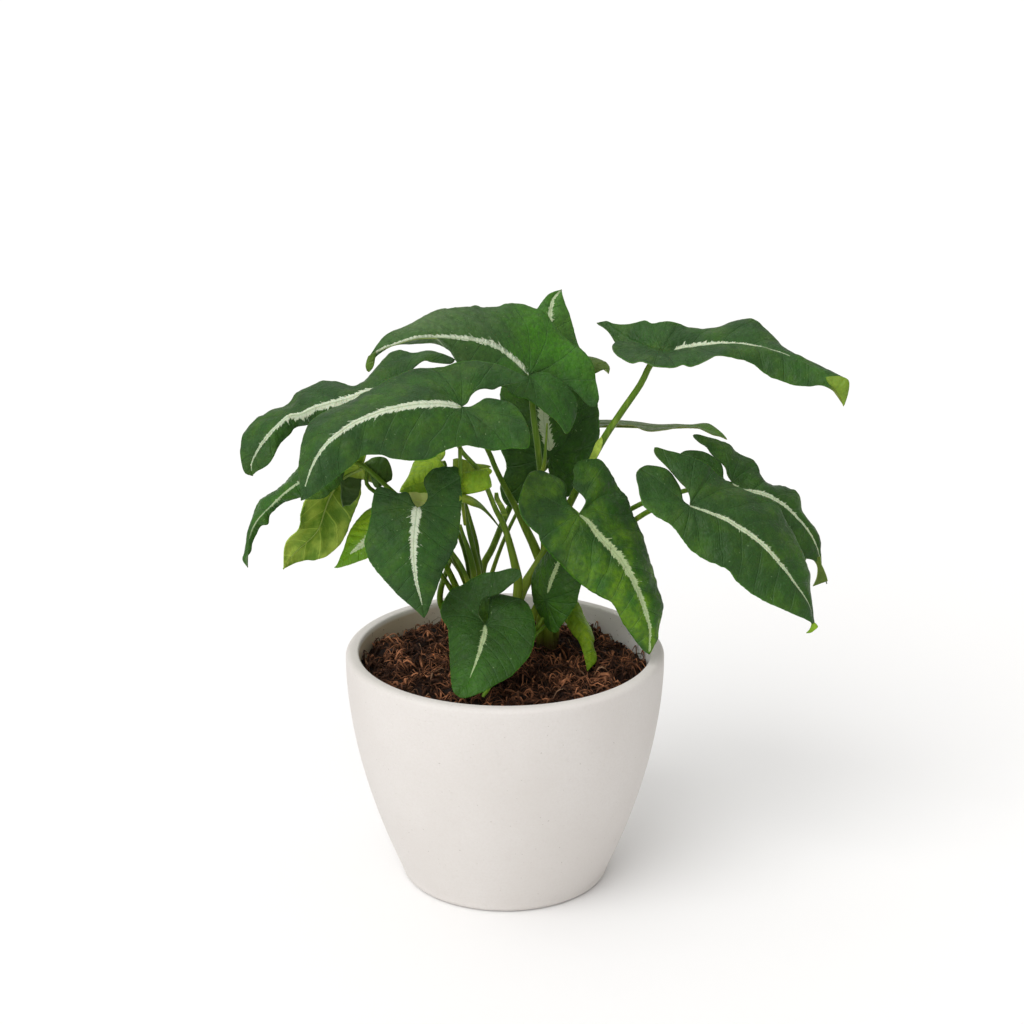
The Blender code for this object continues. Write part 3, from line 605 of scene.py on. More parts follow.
    "rim_heart": {
        "hub": (-9, -32, 138), "tip": (-21, -61, 115), "roll": 10, "crown": "centre", "radius": 1.3,
        "puff": 1.6, "ripple": (0.5, 2, 0.8),
        "bend": [(-1, -9, 121), (-6, -20, 129)],
        "rib": [(53, 17, 16), (109, 26, 30), (167, 31, 35), (225, 33, 34), (283, 31, 29), (339, 25, 14)],
        "left": [
            (391, 29, -6), (367, 80, 9), (332, 126, 21), (284, 161, 23), (238, 197, 12), (184, 221, 4),
            (128, 241, -4), (70, 246, -8), (11, 240, -13), (-47, 226, -16), (-101, 201, -19),
            (-150, 168, -23), (-171, 147, -21), (-183, 121, -18), (-182, 92, -12), (-160, 12, 19),
            (-141, -10, 22), (-113, -15, 18), (-57, -1, 5), (-28, 3, 1),
        ],
        "right": [
            (378, -24, 9), (326, -52, 7), (271, -74, 2), (216, -96, -1), (161, -116, 2), (80, -150, 16),
            (38, -192, 25), (-14, -214, 41), (-91, -192, 76), (-119, -143, 95), (-151, -100, 119),
            (-181, -52, 138), (-196, 4, 150), (-210, 57, 179), (-213, 86, 188), (-209, 115, 184),
            (-186, 119, 169), (-148, 81, 139), (-115, 42, 105), (-92, -12, 87), (-74, -34, 75),
            (-28, -38, 36), (-12, -21, 17),
        ],
    },
    "centre_small": {
        "hub": (19, -6, 140), "tip": (32, 2, 170), "roll": -20, "crown": "centre", "radius": 1.1,
        "puff": 1.2, "ripple": (0.6, 2, 0.5),
        "bend": [(12, -3, 120), (18, -4, 130)],
        "rib": [(55, 0, 13), (111, 0, 21), (168, 0, 22), (225, 0, 18), (281, 0, 10)],
        "left": [
            (315, 20, 0), (272, 62, 1), (222, 94, -1), (167, 114, -7), (109, 128, -14), (51, 126, -24),
            (-29, 92, -41), (-51, 72, -46), (-66, 48, -41), (-117, -18, -70), (-130, -41, -81),
            (-114, -52, -73), (-66, -39, -43), (-45, -24, -29), (-23, -10, -15),
        ],
        "right": [
            (322, -26, 0), (295, -79, 1), (258, -125, 1), (202, -145, -3), (143, -146, -6),
            (84, -145, -14), (56, -149, -22), (-1, -134, -29), (-58, -118, -39), (-85, -106, -43),
            (-113, -100, -50), (-125, -77, -44), (-103, -56, -38), (-53, -23, -24), (-27, -9, -12),
        ],
    },
    "right_hanging": {
        "hub": (29, 12, 132), "tip": (39, -5, 104), "roll": -10, "crown": "right", "radius": 1,
        "puff": 0.8, "ripple": (0.6, 2, 2.2),
        "bend": [(25, 20, 123)],
        "rib": [(56, 15, 16), (114, 29, 29), (174, 38, 34), (235, 41, 32), (292, 27, 19)],
        "left": [
            (328, 25, 4), (312, 50, 8), (286, 61, 9), (229, 67, 0), (203, 81, -1), (145, 84, -10),
            (87, 72, -17), (28, 65, -16), (-1, 59, -15), (-30, 53, -13), (-24, 26, -7),
        ],
        "right": [
            (312, 0, 5), (251, 2, 11), (190, -1, 6), (133, -22, -7), (72, -33, -10), (11, -40, -11),
            (-20, -40, -10), (-19, -20, -7),
        ],
    },
    "right_front": {
        "hub": (84, -20, 191), "tip": (142, -32, 137), "roll": -35, "crown": "right", "radius": 1.4,
        "puff": 2, "ripple": (0.8, 4, 0.9),
        "bend": [(20, 18, 133), (45, 15, 159), (65, 10, 177), (75, -4, 186)],
        "rib": [
            (54, 14, 23), (107, 28, 46), (163, 42, 64), (221, 51, 73), (280, 60, 80), (340, 66, 83),
            (400, 67, 82), (460, 64, 77), (520, 60, 70), (579, 53, 60), (638, 48, 51), (696, 40, 40),
            (751, 23, 22),
        ],
        "left": [
            (770, 25, 7), (708, 77, 23), (650, 135, 36), (625, 168, 42), (555, 211, 35), (484, 253, 30),
            (410, 289, 32), (334, 323, 40), (294, 325, 36), (216, 303, 17), (140, 274, 2), (59, 258, -5),
            (-23, 246, -8), (-104, 229, -13), (-180, 199, -26), (-252, 163, -46), (-287, 143, -54),
            (-260, 116, -56), (-178, 97, -36), (-98, 72, -18), (-59, 60, -5), (-25, 35, 2),
        ],
        "right": [
            (764, -14, 11), (691, -53, 25), (615, -86, 28), (537, -117, 22), (454, -128, 21),
            (371, -135, 17), (329, -129, 20), (250, -149, 2), (210, -158, -7), (126, -158, -13),
            (43, -147, -13), (1, -144, -16), (-81, -151, -32), (-161, -137, -47), (-228, -88, -55),
            (-257, -58, -58), (-275, -21, -63), (-273, 20, -57), (-248, 52, -53), (-175, 89, -36),
            (-96, 64, -27), (-64, 39, -21), (-36, 8, -17),
        ],
    },
    "right_behind": {
        "hub": (106, 12, 192), "tip": (151, 0, 146), "roll": -30, "crown": "right", "radius": 1.3,
        "puff": 1.6, "ripple": (0.7, 5, 0.3),
        "bend": [(28, 22, 140), (45, 22, 164), (64, 19, 179), (85, 15, 187)],
        "rib": [
            (56, 5, 11), (103, 31, 36), (153, 55, 56), (208, 72, 66), (266, 83, 70), (325, 87, 69),
            (384, 87, 67), (442, 80, 61), (498, 66, 50), (550, 43, 33), (602, 21, 16),
        ],
        "left": [
            (616, 16, 9), (578, 32, 18), (520, 87, 35), (488, 114, 43), (412, 150, 43), (372, 161, 37),
            (334, 178, 32), (298, 201, 32), (259, 215, 30), (219, 207, 23), (182, 187, 24),
            (152, 158, 20), (114, 142, 13), (74, 152, 5), (40, 177, 2), (1, 189, -3), (-78, 170, -23),
            (-121, 169, -23), (-195, 135, -34), (-264, 86, -40), (-278, 67, -50), (-236, 59, -41),
            (-196, 60, -28), (-155, 48, -24), (-73, 35, -2), (-38, 14, -4),
        ],
        "right": [
            (614, 7, 11), (537, 10, 31), (484, -50, 41), (529, -119, 24), (504, -143, 17),
            (463, -153, 13), (380, -167, 4), (296, -173, -7), (212, -174, -20), (128, -171, -33),
            (44, -170, -44), (-41, -168, -52), (-125, -159, -61), (-164, -144, -68), (-234, -97, -63),
            (-261, -65, -57), (-250, -30, -40), (-187, 15, -10), (-106, 28, 5), (-68, 13, -1),
            (-37, -10, -14),
        ],
    },
    "back_flat": {
        "hub": (39, 66, 205), "tip": (107, 50, 202), "roll": 6, "crown": "left", "radius": 0.9,
        "puff": 0.2, "ripple": (0.1, 4, 1.1),
        "bend": [(-6, 32, 141), (5, 47, 164), (22, 62, 188)],
        "rib": [
            (59, 2, 2), (118, 4, 7), (177, 6, 11), (236, 7, 14), (295, 7, 17), (354, 7, 19), (412, 7, 25),
            (471, 9, 33), (530, 10, 39), (589, 9, 37), (646, 6, 24),
        ],
        "left": [
            (671, 25, 16), (609, 72, 43), (571, 88, 46), (497, 118, 25), (420, 148, 14), (341, 166, 2),
            (258, 176, -1), (175, 182, -2), (92, 182, -5), (10, 173, -12), (-70, 152, -11),
            (-107, 135, -16), (-140, 110, -20), (-130, 76, -18), (-71, 28, -10), (-37, 11, -5),
        ],
        "right": [
            (666, -22, 11), (633, -45, 20), (565, -77, 51), (528, -95, 50), (489, -110, 53),
            (414, -142, 37), (335, -160, 26), (254, -162, 44), (213, -165, 39), (172, -165, 41),
            (92, -166, 17), (20, -163, -23), (-58, -140, -33), (-96, -123, -37), (-130, -100, -40),
            (-116, -62, -33), (-80, -35, -24), (-42, -13, -13),
        ],
    },
    "back_small": {
        "hub": (31, 80, 236), "tip": (50, 63, 231), "roll": -20, "crown": "right", "radius": 1,
        "puff": 0.8, "ripple": (0.5, 2, 0),
        "bend": [(22, 38, 145), (18, 52, 180), (18, 68, 212)],
        "rib": [(65, 0, 17), (131, 0, 29), (197, 0, 24)],
        "left": [
            (245, 26, 6), (220, 42, 11), (190, 49, 15), (134, 60, -5), (74, 54, -18), (18, 77, -12),
            (-42, 71, -17), (-70, 60, -20), (-66, 38, -17), (-45, 23, -13), (-24, 8, -7),
        ],
        "right": [
            (234, 0, 15), (202, -38, -4), (175, -52, -7), (120, -76, -17), (60, -80, -24),
            (-31, -68, -29), (-60, -60, -30), (-53, -34, -23), (-28, -13, -14),
        ],
    },
    "young_left": {
        "hub": (-30, 13, 202), "tip": (-49, 6, 189), "roll": 20, "crown": "left", "radius": 1,
        "puff": 0.8, "ripple": (0.5, 2, 0.9),
        "bend": [(-18, 18, 150), (-28, 17, 183)],
        "rib": [(60, -9, 16), (122, -6, 28), (184, 1, 27)],
        "left": [
            (214, 12, 7), (160, 41, 6), (104, 64, 0), (76, 71, -8), (30, 95, -39), (0, 90, -40),
            (-10, 68, -35), (-5, 43, -27), (0, 19, -18),
        ],
        "right": [
            (215, -14, 8), (161, -43, 8), (89, -100, 3), (61, -111, 7), (4, -96, -7), (-23, -84, -16),
            (-50, -70, -20), (-46, -42, -17), (-25, -18, -10),
        ],
    },
    "young_curled": {
        "hub": (-22, 4, 197), "tip": (-8, -2, 199.5), "roll": -40, "crown": "left", "radius": 1,
        "puff": 0.8, "ripple": (0.5, 2, 2),
        "bend": [(-13, 14, 144), (-13, 13, 159), (-17, 12, 176)],
        "rib": [(51, -7, 15), (103, -16, 28), (155, -17, 25)],
        "left": [
            (180, 17, 14), (136, 46, 9), (84, 68, 0), (31, 86, -8), (-25, 91, -18), (-51, 84, -27),
            (-51, 59, -26), (-36, 36, -20), (-20, 14, -12),
        ],
        "right": [
            (178, -3, 21), (165, -22, 31), (150, -46, 31), (93, -62, 25), (34, -64, 14), (11, -65, -4),
            (-6, -69, -28), (-30, -60, -40), (-30, -35, -32), (-15, -15, -20),
        ],
    },
}

# Leaves in the pale green of young blades, and those with an olive underside
PALE_LEAVES = ("low_left_pale", "left_young", "right_hanging", "young_left", "young_curled")
OLIVE_LEAVES = ("back_flat",)

# How each leaf looks. The silver stripe: stripe is its half width in millimetres and
# where it starts and ends along the midrib, swell the share of its length over which it
# widens, near the share of its width on the left half, narrow its largest share of the
# blade's own half width, and cream how far it turns to a greenish cream. The green: glow
# is a fresher, brighter patch, partly the blade's own green and partly painted light, and
# sheen is a painted sheen of light on the face, both as (along, left, radius, strength);
# yellow adds light patches in the glow, mottle adds them everywhere; fresh is the fresh
# green of the whole blade, raised on some blades as painted light; shade is painted shade,
# turning the green warmer and deeper where a blade lies in the shade of others; from
# pale_tip on, the tip takes the colour of the underside, as far as pale says. flat lowers
# the relief, and lean is how far the side veins lean to the tip.
PLAIN_LOOK = {
    "stripe": (0.0, 0.0, 1.0), "near": 1.0, "swell": 0.06, "narrow": 0.32, "cream": 0.0,
    "fresh": 0.0, "yellow": 0.0, "mottle": 0.3, "sheen": (0, 0, 1, 0), "shade": 0.0,
    "pale_tip": 2.0, "pale": 1.0, "flat": 1.0, "lean": 0.62,
}
LOOKS = {
    "top": {
        "stripe": (2.9, 0.0, 0.95), "near": 0.12, "glow": (-16, -26, 27, 0.85), "fresh": 0.08,
        "mottle": 0.15, "sheen": (50, -16, 27, 1.0), "lean": 0.9,
    },
    "front_left": {"stripe": (2.8, 0.0, 0.86), "glow": (0, 20, 25, 0.1), "fresh": 0.03, "lean": 1.15},
    "front_right": {
        "stripe": (3.7, 0.0, 0.97), "swell": 0.45, "cream": 0.8, "glow": (52, -10, 26, 0.5),
        "fresh": 0.04, "mottle": 0.75, "shade": 0.4, "yellow": 1.6,
    },
    "upper_right": {
        "stripe": (2.1, 0.06, 0.62), "cream": 0.1, "glow": (75, 6, 18, 0.2), "pale_tip": 0.85,
    },
    "back_upright": {
        "stripe": (3.7, 0.03, 1.04), "narrow": 0.6, "cream": 0.5, "glow": (74, 0, 30, 0.75), "fresh": 0.2,
        "shade": 0.75, "sheen": (74, 0, 24, 0.4),
    },
    "far_left": {"stripe": (2.4, 0.1, 0.93), "glow": (60, -10, 18, 0.2), "lean": 1.0},
    "low_left_narrow": {"stripe": (0.75, 0.0, 0.8), "cream": 0.3, "glow": (30, 0, 20, 0.3), "fresh": 0.1},
    "low_left_pale": {"glow": (24, -8, 20, 0.6), "fresh": 0.2, "mottle": 0.8},
    "left_young": {
        "stripe": (6.0, 0.1, 0.72), "narrow": 0.7, "cream": 0.6, "glow": (8, 0, 13, 0.85), "shade": 0.5,
    },
    "front_heart": {
        "stripe": (2.9, -0.02, 0.87), "glow": (15, -18, 16, 0.15), "fresh": 0.03, "flat": 0.6,
    },
    "rim_heart": {
        "stripe": (2.0, 0.0, 0.74), "swell": 0.3, "cream": 0.8, "glow": (34, 4, 18, 0.25), "mottle": 0.0,
        "shade": 1.0, "flat": 0.4,
    },
    "centre_small": {
        "stripe": (2.3, 0.1, 0.8), "swell": 0.5, "cream": 0.9, "glow": (-12, -8, 14, 0.3), "fresh": 0.2,
        "shade": 1.0, "flat": 0.4,
    },
    "right_hanging": {"glow": (16, 4, 14, 0.3), "fresh": 0.3, "shade": 0.5},
    "right_front": {
        "stripe": (2.4, -0.02, 0.9), "swell": 0.55, "cream": 0.3, "glow": (62, 0, 18, 0.15), "shade": 0.3,
    },
    "right_behind": {
        "stripe": (1.7, 0.0, 0.88), "swell": 0.25, "cream": 0.25, "glow": (50, 0, 14, 0.1), "shade": 0.5,
    },
    "back_flat": {"glow": (64, 0, 12, 0.9), "flat": 0.1, "pale_tip": -1.0, "pale": 0.2, "shade": 1.0},
    "back_small": {"glow": (14, 0, 8, 0.3), "pale_tip": 0.3, "pale": 0.35},
    "young_left": {"glow": (10, 0, 12, 0.3), "fresh": 0.9, "flat": 0.6},
    "young_curled": {"glow": (10, 0, 12, 0.4), "fresh": 0.7, "flat": 0.4},
}

# Folded scraps of blade and open sheaths: two edges, how far the sheet bulges between
# them, and how it looks
SHEETS = {
    "fold_low_left": {
        "bulge": 2, "fresh": 0.0, "pale": 0.0,
        "near": [
            (-74.6, -8, 204.6), (-75, -12, 201.1), (-74.5, -14, 197.5), (-74.6, -15, 193.5),
            (-73.8, -15, 188.7),
        ],
        "far": [
            (-65.7, -2, 200.4), (-66.1, -4, 196.7), (-66.7, -6, 193.9), (-67.5, -8, 191.2),
            (-70.8, -12, 188.7),
        ],
    },
    "fold_under_tip": {
        "bulge": 0.8, "fresh": 0.12, "pale": 0.0,
        "near": [
            (-90.5, -29, 198.5), (-86.9, -28, 200.6), (-83, -26, 202.7), (-78.6, -24, 204.9),
            (-75.1, -22, 207.6), (-72.9, -20, 209.3),
        ],
        "far": [
            (-90.4, -30, 197.2), (-86.4, -30, 197.3), (-82.5, -29, 197.2), (-79.8, -28, 198.2),
            (-78.1, -26, 199.7), (-75.5, -24, 200.9), (-73.8, -22, 203.4), (-72.5, -20, 207),
        ],
    },
    "curled_lobe": {
        "bulge": 1.5, "fresh": 0.1, "pale": 0.12,
        "near": [
            (-63.3, -9, 207.8), (-60.5, -9, 210.2), (-56.8, -9, 210.9), (-53.9, -9, 210),
            (-52.3, -9, 206.9), (-51.5, -9, 203), (-51.7, -9, 200.7),
        ],
        "far": [
            (-62.2, -11, 206.5), (-61.6, -12, 204), (-60.9, -12, 201.1), (-59.6, -12, 197.8),
            (-58, -12, 197.1), (-55.3, -11, 198.4), (-52.6, -10, 199.8),
        ],
    },
    "scrap_behind_heart": {
        "bulge": 0.8, "fresh": 0.35, "pale": 0.0,
        "near": [
            (-47.1, -21, 198.5), (-43.7, -21, 200.4), (-40.1, -21, 201.9), (-36.4, -21, 202.9),
            (-32.8, -21, 203.7),
        ],
        "far": [
            (-46.9, -21, 197.6), (-43.3, -21, 196.9), (-40.1, -21, 196.4), (-36.5, -21, 196.2),
            (-33.4, -21, 195.9),
        ],
    },
    # Its pale, bright colour stands partly for painted light shining through the scrap
    "pale_scrap_behind_heart": {
        "bulge": 1, "fresh": 0.9, "pale": 1.0,
        "near": [(-43.2, -23, 198.5), (-42.3, -23, 195.1), (-40.6, -23, 191.8), (-39.2, -23, 189.4)],
        "far": [(-34.2, -22, 197.7), (-34.7, -22, 194.3), (-36.1, -22, 191.5), (-37.9, -23, 189.4)],
    },
    "curled_young": {
        "bulge": 2.5, "fresh": 0.62, "pale": 0.0,
        "near": [
            (-22.4, -20, 205.6), (-18.8, -20, 206.7), (-15.2, -20, 207.5), (-11.1, -20, 208),
            (-8.4, -20, 208.2), (-7.5, -20, 206.5), (-6.4, -20, 203.2), (-6, -20, 200.8),
        ],
        "far": [
            (-22.5, -22, 196.2), (-19.8, -22, 196.5), (-17, -23, 197.5), (-13.4, -23, 198.2),
            (-10.3, -22, 198.7), (-8, -21, 199.2), (-6.7, -20, 199.6), (-6, -20, 200.3),
        ],
    },
    "young_flap": {
        "bulge": 1, "fresh": 0.6, "pale": 0.5,
        "near": [
            (-23.9, 2, 206.3), (-21.6, 2, 206.8), (-17.9, 2, 205.9), (-13.3, 2, 204.2), (-9.6, 2, 203.7),
            (-6.6, 2, 203),
        ],
        "far": [
            (-23.9, 0, 198.3), (-20.2, 0, 198.3), (-16.5, 0, 199.2), (-12.4, 0, 200.7), (-9.1, 0, 202.1),
            (-6.6, 2, 202.5),
        ],
    },
    "sheath_tip_middle": {
        "bulge": 0.4, "fresh": 0.8, "pale": 0.0,
        "near": [(-4.8, 8, 188.2), (-4.9, 8, 185), (-3.2, 8, 181.6), (-1.8, 8, 178.1), (-0.7, 8, 175.2)],
        "far": [(-3.2, 8, 188.2), (-2.4, 8, 185), (-0.4, 8, 181.6), (1, 8, 178.1), (1, 8, 175.2)],
    },
    "sheath_tip_right": {
        "bulge": 1, "fresh": 0.4, "pale": 0.0,
        "near": [
            (45, 17, 212.7), (42.9, 17, 210.5), (41.6, 17, 207.6), (40.4, 17, 204.2), (38.8, 17, 200.3),
        ],
        "far": [(45.7, 17, 211), (45.3, 16, 208.9), (44.4, 16, 205.9), (43, 16, 203), (41.2, 16, 199.6)],
    },
    "curl_tip_right_front": {
        "bulge": 0.8, "fresh": 0.5, "pale": 0.0,
        "near": [
            (142.4, -32, 137.6), (142.7, -33, 137), (141.3, -34, 136), (139.4, -34.5, 134.9),
            (137.3, -35, 134.9),
        ],
        "far": [
            (139.7, -31, 139.2), (139.9, -32, 138.1), (139.5, -33, 137), (138.6, -34, 136),
            (137.3, -35, 135.1),
        ],
    },
    "curl_tip_right_behind": {
        "bulge": -1.2, "fresh": 0.2, "pale": 0.45,
        "near": [
            (147.2, 0.3, 159.5), (147.7, 0, 156.2), (148.9, -1, 153.6), (150.2, -1, 150.6),
            (150.9, -2, 148),
        ],
        "far": [
            (144.1, 1, 157.6), (145.7, 0, 155.2), (146.1, -1, 152.6), (145.5, -2, 149),
            (143.9, -3, 145.8),
        ],
    },
    "curl_tip_top": {
        "bulge": 1, "fresh": 0.25, "pale": 0.25,
        "near": [
            (-57.7, -9, 260.4), (-58.2, -9, 257.2), (-58.7, -9, 254.4), (-59.7, -9, 252.1),
            (-61, -9, 250.9),
        ],
        "far": [
            (-61.2, -8, 257.8), (-62.1, -8, 255.5), (-62.5, -8, 253.2), (-62, -8, 251.3),
            (-61.1, -8, 250.6),
        ],
    },
    "curl_tip_upper_right": {
        "bulge": 0.8, "fresh": 0.32, "pale": 0.45,
        "near": [
            (145.4, -3.5, 246.9), (148.5, -4, 247.5), (151.6, -4.5, 247.6), (154.8, -5, 246.6),
            (155.9, -5.5, 244.6), (155.4, -6, 239.6), (154, -6.5, 234.6),
        ],
        "far": [
            (146.4, -4, 244.7), (147.7, -4.5, 243.4), (149.1, -5, 242.4), (150.4, -5.5, 240.9),
            (151.6, -6, 239.1), (152.8, -6.3, 236.9), (153.5, -6.5, 234.6),
        ],
    },
    "green_behind_heart": {
        "bulge": 1, "fresh": 0.1, "pale": 0.0,
        "near": [
            (-14.6, 5, 136.4), (-11.8, 5, 137.9), (-8, 5, 138.9), (-4.7, 5, 138.9), (-1.9, 5, 138.4),
        ],
        "far": [(-11.8, 2, 124.4), (-9, 2, 123.4), (-6.6, 2, 124.4), (-3.8, 2, 126.4), (-0.5, 3, 131.1)],
    },
}

# Rolled sheaths and short stems: middle line and radius at each point
ROLLS = {
    "rolled_sheath": [
        (-21.4, -30, 197.9, 1.9), (-17.5, -24, 195.5, 2), (-14, -17, 191.5, 1.9),
        (-10.9, -10, 187.3, 1.3), (-8.2, -4, 182.6, 0.8), (-5.5, 2, 177.2, 0.6), (-3, 7, 172, 0.4),
        (-1.4, 9, 168.4, 0.3),
    ],
    "sheathed_stem_front": [
        (-14.1, 6, 140, 1.7), (-15, 6, 151, 1.6), (-17.3, 5, 161.3, 1.4), (-19.6, 4, 168.6, 1.1),
        (-20.9, 3, 173.9, 0.8),
    ],
    "sheathed_stem_middle": [
        (-11.4, 10, 138.5, 1.5), (-12.7, 10, 149.6, 1.4), (-14.6, 9, 158.9, 1.3), (-16.6, 9, 167.4, 1.2),
        (-18.2, 8, 176.1, 0.9), (-19.2, 8, 183.5, 0.6),
    ],
    "sheathed_stem_back": [
        (-10, 14, 137, 1.2), (-11.4, 14, 147.1, 1.2), (-13.2, 14, 157.2, 1.1), (-15.3, 14, 167.2, 0.8),
        (-17.4, 14, 176.1, 0.5),
    ],
    "upright_stem": [
        (-18.6, 4, 174, 0.8), (-19.3, -4, 185, 0.9), (-19.7, -18, 197.3, 0.9), (-19.8, -27, 209.7, 0.9),
        (-19.9, -29, 217.8, 0.9), (-19.9, -28, 221.7, 0.9),
    ],
    "outer_stem": [
        (-20.7, 18, 110.9, 1.5), (-24, 18, 117.1, 1.5), (-28.5, 18, 124.3, 1.5), (-31, 18, 129.9, 1.5),
        (-30.7, 16, 136.8, 1.4), (-28.6, 12, 145.3, 1.2), (-25.9, 8, 154.3, 1),
    ],
    "low_left_stem": [
        (-16.4, 0, 143.2, 1.2), (-18.7, 0, 150.7, 1.1), (-21.4, 0, 156.4, 1.1), (-24.7, 0, 161.6, 0.9),
        (-27.4, 0, 165.6, 0.8),
    ],
    "stub_at_rim": [(-6.5, -59, 119.4, 1.1), (-8.3, -61, 117.3, 1.2), (-9.7, -62, 114.9, 0.7)],
    "bright_petiole": [
        (17, 10, 195.1, 0.9), (17.6, 10, 198.5, 1), (18.4, 10, 202.4, 0.8), (18.8, 10, 208.7, 0.6),
        (19.3, 10, 215.5, 0.5), (19.5, 10, 221.3, 0.4),
    ],
    "low_stem": [
        (7.9, -20, 118.5, 0.8), (11.7, -14, 121.6, 0.8), (15, -8, 124, 0.8), (18.8, -3, 125.8, 0.9),
        (22.6, 2, 127.4, 1),
    ],
}


# Curves

def vectors(points):
    return [Vector(point) for point in points]


def tenths(points):
    """Points that are given in tenths of a millimetre."""
    return [Vector([value / 10 for value in point]) for point in points]


def spline_point(a, b, c, d, t):
    """Point at t between b and c of the smooth curve through a, b, c, d."""
    return 0.5 * (
        2.0 * b
        + (c - a) * t
        + (2.0 * a - 5.0 * b + 4.0 * c - d) * t**2
        + (3.0 * b - a - 3.0 * c + d) * t**3
    )


def smooth_line(points):
    """Points along the smooth curve that passes through the given ones."""
    first = points[0] * 2.0 - points[1]
    last = points[-1] * 2.0 - points[-2]
    guides = [first, *points, last]
    line = []
    for a, b, c, d in zip(guides, guides[1:], guides[2:], guides[3:]):
        line += [spline_point(a, b, c, d, step / LINE_STEPS) for step in range(LINE_STEPS)]
    line.append(points[-1])
    return line


def line_length(line):
    return sum((b - a).length for a, b in zip(line, line[1:]))


def along_line(line, share):
    """Point at a share of the length of a line of points."""
    left = share * line_length(line)
    for a, b in zip(line, line[1:]):
        length = (b - a).length
        if left <= length:
            return a.lerp(b, left / length if length else 0.0)
        left -= length
    return line[-1].copy()


# Making pieces

def add_object(name, data):
    """Object that holds the data, linked to the scene."""
    made = bpy.data.objects.new(name, data)
    bpy.context.scene.collection.objects.link(made)
    return made


def finished_mesh(bm, name, materials):
    """Mesh with its materials, from a bmesh that is no longer needed."""
    mesh = bpy.data.meshes.new(name)
    bm.to_mesh(mesh)
    bm.free()
    for material in materials:
        mesh.materials.append(material)
    return mesh


def mesh_piece(bm, name, materials, node=None):
    """Finished piece from a bmesh, riding on the pot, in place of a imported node."""
    mesh = finished_mesh(bm, name, materials)
    mesh.shade_smooth()
    made = add_object(name, mesh)
    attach(made, "root")
    if node:
        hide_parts(node)
    return made


def give_thickness(piece):
    """Wall of a thin sheet, with its second material on the underside and the rim."""
    wall = piece.modifiers.new("Thickness", "SOLIDIFY")
    wall.thickness = BLADE_THICKNESS * MM
    wall.offset = 0.0
    wall.material_offset = 1
    wall.material_offset_rim = 1


def sheet_grid(bm, columns, rows, place):
    """Grid of faces whose verts go where place(vert, column, row) puts them."""
    grid = bmesh.ops.create_grid(bm, x_segments=columns, y_segments=rows, size=0.5)
    for vert in grid["verts"]:
        column = round((vert.co.x + 0.5) * columns)
        row = round((vert.co.y + 0.5) * rows)
        place(vert, column, row)
    return list({face for vert in grid["verts"] for face in vert.link_faces})


def ring_turns(line):
    """Middle point of each ring of a tube and two directions across it."""
    rings = []
    across = None
    for index, point in enumerate(line):
        before = line[max(index - 1, 0)]
        after = line[min(index + 1, len(line) - 1)]
        ahead = (after - before).normalized()
        if across is None:
            across = ahead.orthogonal()
        across = (across - ahead * across.dot(ahead)).normalized()
        rings.append((point, across.copy(), ahead.cross(across)))
    return rings


def add_tube(bm, line, radius_at, sides, rings, mark=None, joint=1.0):
    """Closed tube along a line, marked with its rise up to where it joins a blade."""
    turns = ring_turns([along_line(line, ring / rings) for ring in range(rings + 1)])

    def place(vert, column, row):
        angle = 2.0 * math.pi * column / sides
        share = row / rings
        point, across, aside = turns[row]
        wide, thick = radius_at(share)
        offset = across * (math.cos(angle) * wide) + aside * (math.sin(angle) * thick)
        vert.co = (point + offset) * MM
        if mark:
            vert[mark] = share if share < joint else UNDER_BLADE

    faces = sheet_grid(bm, sides, rings, place)
    verts = list({vert for face in faces for vert in face.verts})
    bmesh.ops.remove_doubles(bm, verts=verts, dist=WELD * MM)
    verts = [vert for vert in verts if vert.is_valid]
    ends = list({edge for vert in verts for edge in vert.link_edges if edge.is_boundary})
    bmesh.ops.holes_fill(bm, edges=ends, sides=sides)
    faces = list({face for vert in verts for face in vert.link_faces})
    bmesh.ops.recalc_face_normals(bm, faces=faces)


# Blades

def leaf_axes(leaf):
    """Directions along the blade, to its left, and out of its upper face."""
    along = (Vector(leaf["tip"]) - Vector(leaf["hub"])).normalized()
    up = (UP - along * UP.dot(along)).normalized()
    roll = math.radians(leaf["roll"])
    face = up * math.cos(roll) + up.cross(along) * math.sin(roll)
    return along, face.cross(along), face


def in_world(leaf, point):
    """A point of blade coordinates in the plant's own."""
    along, left, face = leaf_axes(leaf)
    return Vector(leaf["hub"]) + along * point.x + left * point.y + face * point.z


def midrib_line(leaf):
    tip = (Vector(leaf["tip"]) - Vector(leaf["hub"])).length
    return smooth_line([Vector(), *tenths(leaf["rib"]), Vector((tip, 0.0, 0.0))])


def blade_lines(leaf, side):
    """Margin from the end of the lobe to the tip, lobe edge and midrib of one half."""
    midrib = midrib_line(leaf)
    points = [midrib[-1], *tenths(leaf[side]), midrib[0]]
    back = min(range(len(points)), key=lambda index: points[index].x)
    outline = smooth_line(points)
    lobe = LINE_STEPS * back
    return outline[: lobe + 1][::-1], outline[lobe:], midrib


